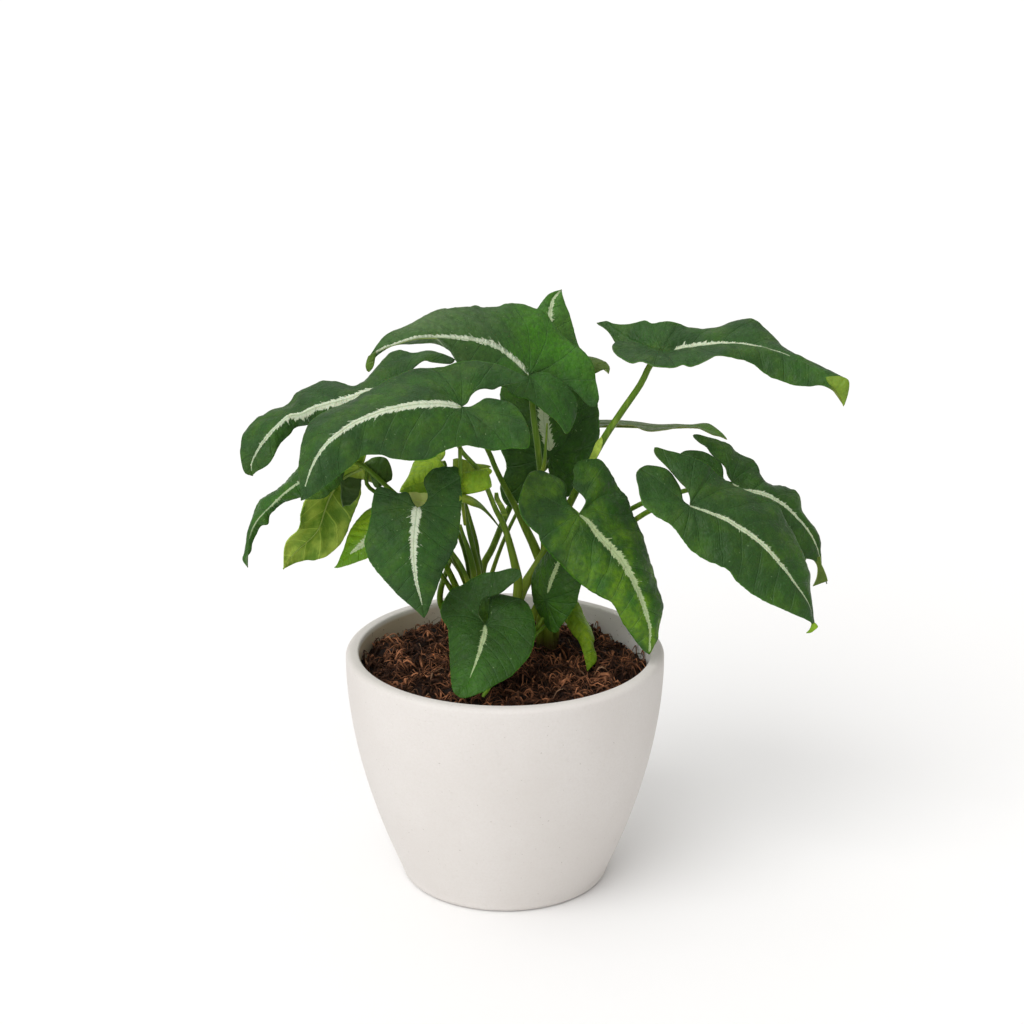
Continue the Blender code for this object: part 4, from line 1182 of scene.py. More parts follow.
def blade_rows(leaf, side):
    """Inner and outer end of each row of a half blade, and its share of the rows."""
    margin, lobe_edge, midrib = blade_lines(leaf, side)
    lobe_length = line_length(lobe_edge)
    hub_share = LOBE_SHARE * lobe_length / (lobe_length + line_length(midrib))
    sinus_share = SOLID_SINUS_ROWS / (SOLID_SINUS_ROWS + SOLID_MIDRIB_ROWS)
    inner = []
    outer = []
    shares = []
    for row in range(SINUS_ROWS + MIDRIB_ROWS + 1):
        if row <= SINUS_ROWS:
            part = row / SINUS_ROWS
            inner.append(along_line(lobe_edge, part))
            outer.append(along_line(margin, hub_share * part))
            shares.append(sinus_share * part)
        else:
            part = (row - SINUS_ROWS) / MIDRIB_ROWS
            inner.append(along_line(midrib, part))
            outer.append(along_line(margin, hub_share + (1.0 - hub_share) * part))
            shares.append(sinus_share + (1.0 - sinus_share) * part)
    return np.array(inner), np.array(outer), np.array(shares)


def rib_distances(points, midrib):
    """For each point: distance from the midrib, and how far along the nearest part is.

    Behind the hub the second value is negative, and the first is measured across
    the midrib's own direction.
    """
    line = np.array(midrib)[:, :2]
    starts = line[:-1]
    spans = line[1:] - starts
    lengths = np.linalg.norm(spans, axis=1)
    flat = points[..., None, :2]
    part = ((flat - starts) * spans).sum(-1) / lengths**2
    part = np.clip(part, 0.0, 1.0)
    away = np.linalg.norm(flat - (starts + spans * part[..., None]), axis=-1)
    nearest = away.argmin(-1)[..., None]
    travelled = np.concatenate([[0.0], np.cumsum(lengths)])[:-1]
    reach = np.take_along_axis(travelled + part * lengths, nearest, -1)[..., 0]
    distance = np.take_along_axis(away, nearest, -1)[..., 0]
    first = spans[0] / lengths[0]
    behind = points[..., 0] * first[0] + points[..., 1] * first[1]
    sideways = np.abs(points[..., 0] * first[1] - points[..., 1] * first[0])
    hidden = (reach <= 0.0) & (behind < 0.0)
    return np.where(hidden, sideways, distance), np.where(hidden, behind, reach)


def spot(points, centre_along, centre_left, radius):
    """Round spot on a blade, 1 in its middle and fading outwards."""
    away = np.hypot(points[..., 0] - centre_along, points[..., 1] - centre_left)
    return np.exp(-((away / radius) ** 2))


def margin_noise(share, seed, waves, seed_step, layer):
    return noise.noise(Vector((share * waves, seed * seed_step, layer)))


class HalfBlade:
    """Points of half a blade as rows and columns, and the marks its colours read."""

    def __init__(self, leaf, look, side, seed):
        self.look = look
        self.side = side
        self.seed = seed
        self.inner, self.outer, self.shares = blade_rows(leaf, side)
        self.across = np.linspace(0.0, 1.0, COLUMNS + 1)
        self.fade = np.sin(math.pi * self.shares)[:, None]
        midrib = midrib_line(leaf)
        self.length = line_length(midrib)
        self.size = min(self.length / FULL_LENGTH, 1.0)
        spans = (self.outer - self.inner)[:, None]
        self.points = self.inner[:, None] + spans * self.across[None, :, None]
        self.distance, self.reach = rib_distances(self.points, midrib)
        self.vein_number, self.vein_gap = self.veins()
        lift = self.waves(leaf)
        for groove in self.grooves():
            lift = lift - groove
        self.points[..., 2] += lift + self.wrinkles()
        self.points += self.frill()

    def veins(self):
        """Which side vein each point is on, as a number, and the way to the next one."""
        lean = self.look["lean"]
        spacing = self.length / VEINS
        bent = self.reach - VEIN_CURVE * self.distance**2 / self.length
        start = bent - lean * self.distance
        turn = math.atan2(1.0, lean) - np.arctan2(self.distance, bent)
        radius = np.hypot(self.distance, bent)
        ahead = start >= 0.0
        number = np.where(ahead, start / spacing, turn / LOBE_VEIN_TURN)
        lobe_gap = np.maximum(radius * LOBE_VEIN_TURN, 1.0)
        return number, np.where(ahead, spacing * VEIN_GAP_SHARE, lobe_gap)

    def waves(self, leaf):
        """Bulge between rib and margin, and the waves of the margin."""
        height, count, phase = leaf["ripple"]
        if self.side == "left":
            phase += LEFT_WAVE_LAG
        wave = np.sin(2.0 * math.pi * count * self.shares + phase)[:, None]
        bulge = leaf["puff"] * self.fade * np.sin(math.pi * self.across)
        return bulge + height * self.fade * self.across**2 * wave

    def grooves(self):
        """Depths of the hollows between the side veins, of the veins and of the midrib."""
        near_vein = np.abs(self.vein_number - np.round(self.vein_number)) * self.vein_gap
        inside = (1.0 - self.across**RELIEF_EDGE_POWER)[None, :]
        deep = self.size * self.look["flat"] * inside * np.clip(self.distance / VEIN_START, 0.0, 1.0)
        deep = deep * np.where(self.reach > 0.0, 1.0, LOBE_RELIEF)
        swell = VEIN_SWELL * deep * np.cos(2.0 * math.pi * self.vein_number)
        vein = VEIN_DEPTH * deep * np.exp(-((near_vein / VEIN_HALF_WIDTH) ** 2))
        rib = RIB_DEPTH * self.size * np.exp(-((self.distance / RIB_HALF_WIDTH) ** 2))
        return swell, vein, rib * (self.reach > 0.0)

    def wrinkles(self):
        """Uneven height of the blade, none at the rib."""
        rough = np.zeros(self.distance.shape)
        for row, column in np.ndindex(rough.shape):
            x, y = self.points[row, column, :2] / WRINKLE_SIZE
            at = Vector((x, y, self.seed))
            fine = noise.noise(at * FINE_WRINKLE_RATE) * FINE_WRINKLE
            rough[row, column] = noise.noise(at) * WRINKLE + fine
        return rough * self.size * self.look["flat"] * np.minimum(1.0, WRINKLE_RISE * self.across)

    def frill(self):
        """Small shifts of the margin, outwards and back."""
        ragged = []
        for share in self.shares:
            slow = margin_noise(share, self.seed, *FRILL_NOISE)
            fine = margin_noise(share, self.seed, *FINE_FRILL_NOISE)
            ragged.append(slow + FINE_FRILL * fine)
        outward = self.outer - self.inner
        outward[:, 2] = 0.0
        outward = outward / np.maximum(np.linalg.norm(outward, axis=1)[:, None], 1.0)
        shift = np.array(ragged)[:, None] * FRILL * self.size * self.fade * self.across**3
        return outward[:, None] * shift[..., None]

    def stripe_width(self):
        """Half width of the silver stripe beside each point."""
        width, start, end = self.look["stripe"]
        part = (self.reach / self.length - start) / (end - start)
        inside = np.clip(part, 0.0, 1.0)
        rising = np.clip(inside / self.look["swell"], 0.0, 1.0) ** STRIPE_RISE
        falling = 1.0 - STRIPE_TAPER * inside**STRIPE_TAPER_POWER
        there = (part > 0.0) & (part < 1.0) & (width > 0.0)
        stripe = np.where(there, width * rising * falling, NO_STRIPE)
        if self.side == "left":
            stripe = stripe * self.look["near"]
        half_width = np.linalg.norm(self.outer - self.inner, axis=1)[:, None]
        return np.minimum(stripe, self.look["narrow"] * half_width)

    def marks(self):
        """What the leaf's colours read, by name, for each point."""
        look = self.look
        *glow_place, glow_strength = look["glow"]
        *sheen_place, sheen_strength = look["sheen"]
        glow = spot(self.points, *glow_place)
        paleness = np.clip((self.reach / self.length - look["pale_tip"]) / PALE_TIP_LENGTH, 0.0, 1.0)
        return {
            "rib_distance": self.distance,
            "rib_share": self.reach / self.length,
            "stripe_width": self.stripe_width(),
            "cream": look["cream"],
            "mottle": look["mottle"] + look["yellow"] * glow,
            # sheen is painted sheen of light, shade is painted shade
            "sheen": sheen_strength * spot(self.points, *sheen_place),
            "shade": look["shade"],
            "paleness": paleness * look["pale"],
            "vein_number": self.vein_number,
            "vein_gap": self.vein_gap,
            "fresh": np.clip(look["fresh"] + glow_strength * glow, 0.0, 1.0),
            "across": self.across,
            "sheet": self.seed * SHEET_SEED,
        }


def make_blade(name, seed, materials, slot):
    """Fine waved blade with sunken veins over a packed blade."""
    leaf = LEAVES[name]
    look = {**PLAIN_LOOK, **LOOKS[name]}
    bm = bmesh.new()
    layers = {}
    for side, side_seed in (("left", seed), ("right", seed + RIGHT_SEED)):
        half = HalfBlade(leaf, look, side, side_seed)
        shape = half.distance.shape
        marks = {mark: np.broadcast_to(value, shape) for mark, value in half.marks().items()}
        for mark in marks:
            if mark not in layers:
                layers[mark] = bm.verts.layers.float.new(mark)

        def place(vert, column, row):
            vert.co = Vector(half.points[row, column])
            for mark, values in marks.items():
                vert[layers[mark]] = values[row, column]

        faces = sheet_grid(bm, COLUMNS, SINUS_ROWS + MIDRIB_ROWS, place)
        if side == "left":
            bmesh.ops.reverse_faces(bm, faces=faces)
    bmesh.ops.remove_doubles(bm, verts=bm.verts, dist=BLADE_WELD)
    for vert in bm.verts:
        vert.co = in_world(leaf, vert.co) * MM
    give_thickness(mesh_piece(bm, f"fine_blade_{name}", materials, f"blade_{name}"))


# Scraps and sheaths

def make_sheet(name, sheet, materials, slot):
    """Thin sheet between two edges, bulging in the middle, as a folded scrap of blade."""
    bm = bmesh.new()
    marks = {**SHEET_MARKS, "fresh": sheet["fresh"], "paleness": sheet["pale"]}
    layers = {mark: bm.verts.layers.float.new(mark) for mark in (*marks, "vein_number", "across")}
    near = smooth_line(vectors(sheet["near"]))
    far = smooth_line(vectors(sheet["far"]))
    long_waves, cross_waves, layer_step = SHEET_WAVES

    def place(vert, column, row):
        share = row / SHEET_ROWS
        part = column / SHEET_COLUMNS
        left = along_line(near, share)
        right = along_line(far, share)
        before = along_line(near, max(share - SHEET_STEP, 0.0))
        after = along_line(near, min(share + SHEET_STEP, 1.0))
        out = (right - left).cross(after - before).normalized()
        at = Vector((share * long_waves, part * cross_waves, sheet["fresh"] * layer_step))
        rough = SHEET_ROUGHNESS * noise.noise(at)
        wide = min(1.0, (right - left).length / SHEET_FULL_WIDTH)
        bulge = (sheet["bulge"] + rough) * math.sin(math.pi * part) * wide
        vert.co = (left.lerp(right, part) + out * bulge) * MM
        for mark, value in marks.items():
            vert[layers[mark]] = value
        vert[layers["vein_number"]] = share * SHEET_VEINS
        vert[layers["across"]] = abs(2.0 * part - 1.0)

    sheet_grid(bm, SHEET_COLUMNS, SHEET_ROWS, place)
    bmesh.ops.remove_doubles(bm, verts=bm.verts, dist=WELD * MM)
    give_thickness(mesh_piece(bm, name, materials))


def make_roll(name, points, material):
    """Rolled sheath or short stem: a tube whose radius changes from point to point."""
    line = smooth_line(vectors(point[:3] for point in points))
    radii = smooth_line(vectors((point[3], 0.0, 0.0) for point in points))

    def radius_at(share):
        place = share * (len(radii) - 1)
        low = min(int(place), len(radii) - 2)
        radius = radii[low].lerp(radii[low + 1], place - low).x
        return radius, radius

    bm = bmesh.new()
    mark = bm.verts.layers.float.new("rise")
    add_tube(bm, line, radius_at, STALK_SIDES, ROLL_RINGS, mark)
    mesh_piece(bm, name, [material])


# Stalks

def root_turns(leaves, x, y):
    """Angle round its crown at which each stalk roots, spread evenly, so none cross."""
    ways = [math.atan2(leaf["bend"][0][1] - y, leaf["bend"][0][0] - x) for leaf in leaves]
    order = sorted(range(len(ways)), key=lambda index: ways[index])
    step = 2.0 * math.pi / len(ways)
    start = sum(ways[index] - step * place for place, index in enumerate(order)) / len(ways)
    return {index: start + step * place for place, index in enumerate(order)}


def stalk_line(name, turn):
    """Middle line of a stalk, from inside its crown to just under the blade."""
    leaf = LEAVES[name]
    along, _, face = leaf_axes(leaf)
    x, y = CROWNS[leaf["crown"]]
    root = Vector((x + STALK_SPREAD * math.cos(turn), y + STALK_SPREAD * math.sin(turn), STALK_ROOT))
    foot_x = x + STALK_FOOT_SPREAD * (root.x - x)
    foot_y = y + STALK_FOOT_SPREAD * (root.y - y)
    foot = Vector((foot_x, foot_y, CROWN_FOOT))
    below = STALK_BELOW_BLADE + STALK_TOP_SHARE**2 * leaf["radius"] - STALK_SINK
    end = Vector(leaf["hub"]) - face * below
    drop, back = NECKS.get(name, (STALK_NECK_DROP, STALK_NECK_BACK))
    neck = end - face * drop - along * back
    return smooth_line([foot, root, *vectors(leaf["bend"]), neck, end])


def rib_radius(leaf, share):
    """Radius of the rib under a blade at a share of the way to the tip."""
    thinned = STALK_TOP_SHARE * (1.0 - share) ** UNDER_RIB_TAPER * UNDER_RIB_SHARE
    return leaf["radius"] * (thinned + UNDER_RIB_LEAST)


def under_rib_line(leaf):
    """Points along the underside of the midrib, from the hub nearly to the tip."""
    midrib = midrib_line(leaf)
    size = min(line_length(midrib) / FULL_LENGTH, 1.0)
    points = []
    for step in range(1, UNDER_RIB_STEPS + 1):
        share = UNDER_RIB_END * step / UNDER_RIB_STEPS
        point = along_line(midrib, share)
        point.z -= RIB_DEPTH * size + UNDER_RIB_GAP + rib_radius(leaf, share)
        points.append(in_world(leaf, point))
    return points


def add_stalk(bm, name, turn, mark):
    """Stalk with its sheathed foot, thinning out under the midrib."""
    leaf = LEAVES[name]
    lower = stalk_line(name, turn)
    line = lower + under_rib_line(leaf)
    joint = line_length(lower) / line_length(line)
    full, end = SHEATHS.get(name, (STALK_SHEATH, STALK_SHEATH_END))

    def radius_at(share):
        if share < joint:
            part = share / joint
            radius = leaf["radius"] * (STALK_ROOT_SWELL + (STALK_TOP_SHARE - STALK_ROOT_SWELL) * part)
            sheath = full * min(1.0, STALK_SHEATH_RISE * part)
            sheath *= max(0.0, 1.0 - part / end) ** STALK_SHEATH_TAPER
            return radius * (1.0 + sheath), radius * (1.0 + STALK_SHEATH_FLATNESS * sheath)
        thin = rib_radius(leaf, (share - joint) / (1.0 - joint))
        return thin, thin

    add_tube(bm, line, radius_at, STALK_SIDES, STALK_RINGS, mark, joint)


def make_plantlet(crown, material):
    """Crown and stalks of one plantlet."""
    x, y = CROWNS[crown]
    bm = bmesh.new()
    mark = bm.verts.layers.float.new("rise")
    names = [name for name, leaf in LEAVES.items() if leaf["crown"] == crown]
    turns = root_turns([LEAVES[name] for name in names], x, y)
    for index, name in enumerate(names):
        add_stalk(bm, name, turns[index], mark)

    def crown_radius(share):
        radius = CROWN_RADIUS + (CROWN_TOP_RADIUS - CROWN_RADIUS) * share**CROWN_TAPER
        return radius, radius

    add_tube(bm, vectors([(x, y, CROWN_FOOT), (x, y, CROWN_TOP)]), crown_radius, CROWN_SIDES, CROWN_RINGS)
    mesh_piece(bm, f"fine_stalks_{crown}", [material], f"stalks_{crown}")


# Pot

def pot_radius(height):
    """Outer radius of the pot's belly at a height."""
    share = min(height / POT_BELLY_TOP, 1.0)
    return POT_FOOT_RADIUS + (POT_RADIUS - POT_FOOT_RADIUS) * (1.0 - (1.0 - share) ** POT_BELLY_POWER)


def pot_wall(height):
    """Inner radius of the pot at a height."""
    return pot_radius(height) - POT_WALL


def pot_profile():
    """Outline of the pot from the middle of its foot to the middle of its floor."""
    foot = pot_radius(POT_FOOT_ROUND)
    lip_foot = POT_HEIGHT - POT_LIP_DEPTH
    count = round((lip_foot - POT_FOOT_ROUND) / POT_LEVEL_STEP)
    levels = np.linspace(POT_FOOT_ROUND, lip_foot, count)
    points = [(0.0, 0.0), (POT_FOOT_FLAT, 0.0)]
    for step in range(1, POT_FOOT_STEPS):
        turn = math.pi / 2 * step / POT_FOOT_STEPS
        radius = POT_FOOT_FLAT + (foot - POT_FOOT_FLAT) * math.sin(turn)
        points.append((radius, POT_FOOT_ROUND * (1.0 - math.cos(turn))))
    points += [(pot_radius(z), z) for z in levels]
    for step in range(1, POT_LIP_STEPS):
        turn = math.pi * step / POT_LIP_STEPS
        radius = POT_RADIUS - POT_WALL / 2 * (1.0 - math.cos(turn))
        depth = POT_LIP_ROUND
        if turn > math.pi / 2:
            radius = POT_RADIUS - POT_WALL + POT_LIP_INNER * (1.0 + math.cos(turn))
            depth = POT_LIP_INNER
        points.append((radius, POT_HEIGHT - depth * (1.0 - math.sin(turn))))
    points += [(pot_wall(z), z) for z in levels[:2:-1]]
    points += [(pot_wall(POT_FLOOR_WALL) - POT_FLOOR_ROUND, POT_FLOOR), (0.0, POT_FLOOR)]
    return points


def make_pot(material):
    """Round pot with a rounded lip, a curved belly and a flat foot."""
    bm = bmesh.new()
    layer = bm.verts.layers.float.new("inside")
    verts = []
    past_lip = False
    for radius, height in pot_profile():
        vert = bm.verts.new((radius * MM, 0.0, height * MM))
        past_lip = past_lip or height > POT_HEIGHT - POT_WELD
        vert[layer] = 1.0 if past_lip and height < POT_HEIGHT - POT_LIP_INSIDE else 0.0
        verts.append(vert)
    edges = [bm.edges.new(pair) for pair in zip(verts, verts[1:])]
    bmesh.ops.spin(
        bm,
        geom=verts + edges,
        axis=UP,
        cent=(0.0, 0.0, 0.0),
        steps=POT_SIDES,
        angle=2.0 * math.pi,
        use_merge=True,
    )
    bmesh.ops.remove_doubles(bm, verts=bm.verts, dist=POT_WELD * MM)
    bmesh.ops.recalc_face_normals(bm, faces=bm.faces)
    mesh_piece(bm, "fine_pot", [material], "pot")


# Soil

def soil_height(x, y):
    """Height of the soil: higher at the left, with low lumps."""
    out = math.hypot(x, y) / POT_RADIUS
    wide, deep = SOIL_LUMP_SIZE
    lumps = math.sin(x / wide + 1.0) * math.cos(y / deep)
    wide, deep = SOIL_SMALL_LUMP_SIZE
    lumps += SOIL_SMALL_LUMP * math.sin(x / wide - y / deep)
    return SOIL_LEVEL - SOIL_SLOPE * x / POT_RADIUS + SOIL_HUMP * (1.0 - out**2) + SOIL_LUMP * lumps


def soil_noise(x, y, size, layer):
    return noise.noise(Vector((x / size, y / size, layer)))


def crumbly_height(x, y):
    """Soil height with clods and crumbs, sinking a little towards the wall."""
    rim = min(max((math.hypot(x, y) / pot_wall(SOIL_LEVEL) - SOIL_EDGE) / SOIL_EDGE_WIDTH, 0.0), 1.0)
    rough = sum(height * soil_noise(x, y, size, layer) for height, size, layer in SOIL_ROUGHNESS)
    return soil_height(x, y) + rough - SOIL_EDGE_SINK * rim * rim


def make_soil(material):
    """Crumbly top of the soil, down to the wall of the pot."""
    edge = pot_wall(SOIL_LEVEL) + SOIL_OVERLAP
    bm = bmesh.new()

    def place(vert, column, row):
        angle = 2.0 * math.pi * column / SOIL_SIDES
        radius = edge * row / SOIL_RINGS
        x = radius * math.cos(angle)
        y = radius * math.sin(angle)
        vert.co = Vector((x, y, crumbly_height(x, y))) * MM

    sheet_grid(bm, SOIL_SIDES, SOIL_RINGS, place)
    bmesh.ops.remove_doubles(bm, verts=bm.verts, dist=WELD * MM)
    rim = [side for side in bm.edges if side.is_boundary]
    made = bmesh.ops.extrude_edge_only(bm, edges=rim)["geom"]
    for vert in made:
        if isinstance(vert, bmesh.types.BMVert):
            vert.co.z = (SOIL_LEVEL - SOIL_DEPTH) * MM
    floor = [item for item in made if isinstance(item, bmesh.types.BMEdge)]
    bmesh.ops.holes_fill(bm, edges=floor, sides=0)
    bmesh.ops.recalc_face_normals(bm, faces=bm.faces)
    mesh_piece(bm, "fine_soil", [material], "soil")


def spot_on_soil(rand):
    """Random place on the soil, in loose heaps and clear of the crowns."""
    while True:
        radius = (pot_wall(SOIL_LEVEL) - SOIL_CLEAR_EDGE) * math.sqrt(rand.random())
        angle = rand.uniform(0.0, 2.0 * math.pi)
        x = radius * math.cos(angle)
        y = radius * math.sin(angle)
        heaped = soil_noise(x, y, *SOIL_HEAPS) + SOIL_HEAPED > rand.random()
        if heaped and all(math.hypot(x - cx, y - cy) > CROWN_RADIUS for cx, cy in CROWNS.values()):
            return x, y


def make_clods(material):
    """Loose crumbs of soil lying on top."""
    rand = random.Random(CLOD_SEED)
    bm = bmesh.new()
    for _ in range(CLODS):
        x, y = spot_on_soil(rand)
        size = rand.uniform(*CLOD_RADIUS)
        made = bmesh.ops.create_icosphere(bm, subdivisions=1, radius=size * MM)["verts"]
        middle = Vector((x, y, crumbly_height(x, y) + CLOD_LIFT * size)) * MM
        stretch = Vector([rand.uniform(*limits) for limits in (CLOD_WIDTH, CLOD_WIDTH, CLOD_HEIGHT)])
        for vert in made:
            rough = noise.noise(vert.co * CLOD_GRAIN + Vector((x, y, 0.0)))
            vert.co = middle + vert.co * (1.0 + CLOD_ROUGHNESS * rough) * stretch
    mesh_piece(bm, "soil_crumbs", [material])


def make_flakes(material):
    """Flat chips of coir of all sizes, tilted every way."""
    rand = random.Random(FLAKE_SEED)
    bm = bmesh.new()
    layer = bm.verts.layers.float.new("tone")
    for _ in range(FLAKES):
        x, y = spot_on_soil(rand)
        long = rand.uniform(*FLAKE_LENGTH)
        wide = long * rand.uniform(*FLAKE_WIDTH)
        made = bmesh.ops.create_cube(bm, size=1.0)["verts"]
        tilts = (rand.gauss(0.0, FLAKE_TILT), rand.gauss(0.0, FLAKE_TILT))
        turned = Euler((*tilts, rand.uniform(0.0, FLAKE_TURN))).to_matrix()
        middle = Vector((x, y, crumbly_height(x, y) + rand.uniform(*FLAKE_LIFT)))
        tone = rand.random() ** FLAKE_TONE_POWER
        for vert in made:
            taper = FLAKE_TAPER if vert.co.x > 0.0 else 1.0
            part = Vector((vert.co.x * long, vert.co.y * wide * taper, vert.co.z * FLAKE_THICKNESS))
            jolt = Vector([rand.gauss(0.0, size) for size in FLAKE_JOLT])
            vert.co = (middle + turned @ (part + jolt)) * MM
            vert[layer] = tone
    bmesh.ops.recalc_face_normals(bm, faces=bm.faces)
    mesh_piece(bm, "coir_flakes", [material])


def strand_points(rand, length, lift):
    """Points of one strand of coir lying on the soil."""
    x, y = spot_on_soil(rand)
    reach = pot_wall(SOIL_LEVEL) - STRAND_WALL_GAP
    heading = rand.uniform(0.0, 2.0 * math.pi)
    turn = rand.gauss(0.0, STRAND_CURVE)
    run = rand.uniform(*length)
    rise = lift * rand.random() ** 2
    tilt = rand.uniform(-0.5, 0.5) * lift
    points = []
    for step in range(STRAND_POINTS):
        part = step / (STRAND_POINTS - 1)
        height = crumbly_height(x, y) + STRAND_BASE + rise * math.sin(math.pi * part)
        height += max(0.0, tilt * (part - 0.5)) + rand.gauss(0.0, STRAND_JOLT)
        points.append((x, y, height))
        heading += turn + rand.gauss(0.0, STRAND_WANDER)
        x += run / STRAND_POINTS * math.cos(heading)
        y += run / STRAND_POINTS * math.sin(heading)
        out = math.hypot(x, y)
        if out > reach:
            x *= reach / out
            y *= reach / out
    return points


def strand_mesh(name, strands, thickness):
    """Thin tapered tubes along strands of (x, y, height, share of the thickness)."""
    curve = bpy.data.curves.new(name, "CURVE")
    curve.dimensions = "3D"
    curve.bevel_depth = thickness * MM
    curve.bevel_resolution = 0
    curve.use_fill_caps = True
    for strand in strands:
        spline = curve.splines.new("POLY")
        spline.points.add(len(strand) - 1)
        for point, (x, y, z, share) in zip(spline.points, strand):
            point.co = (x * MM, y * MM, z * MM, 1.0)
            point.radius = share
    made = add_object(name, curve)
    graph = bpy.context.evaluated_depsgraph_get()
    mesh = bpy.data.meshes.new_from_object(made.evaluated_get(graph))
    bpy.data.objects.remove(made)
    bpy.data.curves.remove(curve)
    bm = bmesh.new()
    bm.from_mesh(mesh)
    bpy.data.meshes.remove(mesh)
    return bm


def make_strands(name, count, length, thickness, lift, seed, material):
    """Strands of coir lying over each other, bent and tapered, with painted shade that darkens them
    further down.
    """
    rand = random.Random(seed)
    least, spread = STRAND_SIZE
    end, middle = STRAND_TAPER
    strands = []
    tones = []
    for _ in range(count):
        size = least + spread * rand.random() ** 2
        strand = []
        for step, point in enumerate(strand_points(rand, length, lift)):
            thin = end + middle * math.sin(math.pi * step / (STRAND_POINTS - 1))
            strand.append((*point, thin * size))
        strands.append(strand)
        tones.append(rand.random())
    bm = strand_mesh(name, strands, thickness)
    layer = bm.verts.layers.float.new("tone")
    share = len(bm.verts) / count
    for index, vert in enumerate(bm.verts):
        # Painted shade: the lower a strand lies, the darker its tone
        x, y, z = vert.co / MM
        above = (z - crumbly_height(x, y)) / STRAND_SHADE_DEPTH
        light = min(1.0, max(STRAND_LEAST_TONE, above + STRAND_TONE_LIFT))
        vert[layer] = tones[int(index / share)] * light
    mesh_piece(bm, name, [material])


# Shader nodes

class Value:
    """What a node of a tree gives, open to plain arithmetic."""

    def __init__(self, tree, socket):
        self.tree = tree
        self.socket = socket

    def step(self, operation, *values):
        """Result of a step on values, each a Value or a number."""
        node = add_node(self.tree, "ShaderNodeMath", operation=operation)
        for socket, value in zip(node.inputs, values):
            feed(self.tree, value, socket)
        return Value(self.tree, node.outputs[0])

    def __add__(self, other):
        return self.step("ADD", self, other)

    def __radd__(self, other):
        return self.step("ADD", other, self)

    def __sub__(self, other):
        return self.step("SUBTRACT", self, other)

    def __rsub__(self, other):
        return self.step("SUBTRACT", other, self)

    def __mul__(self, other):
        return self.step("MULTIPLY", self, other)

    def __truediv__(self, other):
        return self.step("DIVIDE", self, other)

    def clamped(self):
        """The same value, kept between 0 and 1 by its own step."""
        self.socket.node.use_clamp = True
        return self

    def ramp(self, low, high, to_low=0.0, to_high=1.0):
        """This value carried smoothly from one range to another."""
        limits = {"Value": self, "From Min": low, "From Max": high, "To Min": to_low, "To Max": to_high}
        node = add_node(self.tree, "ShaderNodeMapRange", limits, interpolation_type="SMOOTHSTEP")
        return Value(self.tree, node.outputs["Result"])


def feed(tree, value, socket):
    """Put a Value, a number or a plain colour into a socket."""
    if isinstance(value, Value):
        tree.links.new(value.socket, socket)
    elif socket.type == "RGBA":
        socket.default_value = (*value, 1.0)
    else:
        socket.default_value = value


def add_node(tree, kind, inputs=None, **settings):
    """Node of a kind, with its settings and what goes into its inputs."""
    node = tree.nodes.new(kind)
    for name, value in settings.items():
        setattr(node, name, value)
    for name, value in (inputs or {}).items():
        feed(tree, value, node.inputs[name])
    return node


def mark_value(tree, name):
    """Mark that the mesh carries under a name."""
    return Value(tree, add_node(tree, "ShaderNodeAttribute", attribute_name=name).outputs["Fac"])


def own_place(tree):
    """Place in the piece's own coordinates, in metres."""
    return Value(tree, add_node(tree, "ShaderNodeTexCoord").outputs["Object"])


def own_axis(tree, axis):
    """X, Y or Z in the piece's own coordinates, in metres."""
    parts = add_node(tree, "ShaderNodeSeparateXYZ", {"Vector": own_place(tree)})
    return Value(tree, parts.outputs[axis])


def place_of(tree, axes):
    """Place made of the values given for its axes."""
    return Value(tree, add_node(tree, "ShaderNodeCombineXYZ", axes).outputs["Vector"])


def noise_at(tree, place, scale, detail, roughness=0.5):
    """Noise at a place, scale in waves to its unit."""
    values = {"Vector": place, "Scale": scale, "Detail": detail, "Roughness": roughness}
    return Value(tree, add_node(tree, "ShaderNodeTexNoise", values).outputs["Fac"])


def noise_value(tree, scale, detail=3.0, roughness=0.55, stretch=None):
    """Noise in the piece's own coordinates, scale in waves a metre."""
    place = own_place(tree)
    if stretch:
        mapping = add_node(tree, "ShaderNodeMapping", {"Vector": place, "Scale": stretch})
        place = Value(tree, mapping.outputs["Vector"])
    return noise_at(tree, place, scale, detail, roughness)


def cell_edges(tree, scale):
    """Distance to the edges of small cells, in the piece's own coordinates."""
    values = {"Vector": own_place(tree), "Scale": scale}
    cells = add_node(tree, "ShaderNodeTexVoronoi", values, feature="DISTANCE_TO_EDGE")
    return Value(tree, cells.outputs["Distance"])


def mix_colours(tree, share, first, second):
    """Colour between two, each a Value or a plain colour."""
    node = add_node(tree, "ShaderNodeMix", {"Factor": share}, data_type="RGBA")
    colours = [socket for socket in node.inputs if socket.type == "RGBA"]
    feed(tree, first, colours[0])
    feed(tree, second, colours[1])
    return Value(tree, [socket for socket in node.outputs if socket.type == "RGBA"][0])


def paint_over(tree, colour, layers):
    """Colour with others laid over it in turn, each as far as its share says."""
    for share, paint in layers:
        colour = mix_colours(tree, share, colour, paint)
    return colour


# Shader groups

def new_group(name, inputs, outputs):
    """Empty shader group, the Values of its named inputs and the sockets of its outputs."""
    group = bpy.data.node_groups.new(name, "ShaderNodeTree")
    for label, value in inputs.items():
        socket = group.interface.new_socket(label, in_out="INPUT", socket_type="NodeSocketFloat")
        socket.default_value = value
    for label in outputs:
        group.interface.new_socket(label, in_out="OUTPUT", socket_type="NodeSocketFloat")
    starts = group.nodes.new("NodeGroupInput").outputs
    values = {label: Value(group, starts[label]) for label in inputs}
    return group, values, group.nodes.new("NodeGroupOutput").inputs


def from_half(number):
    """How far the fraction of a number is from one half."""
    return number.step("ABSOLUTE", number.step("FRACT", number) - 0.5)


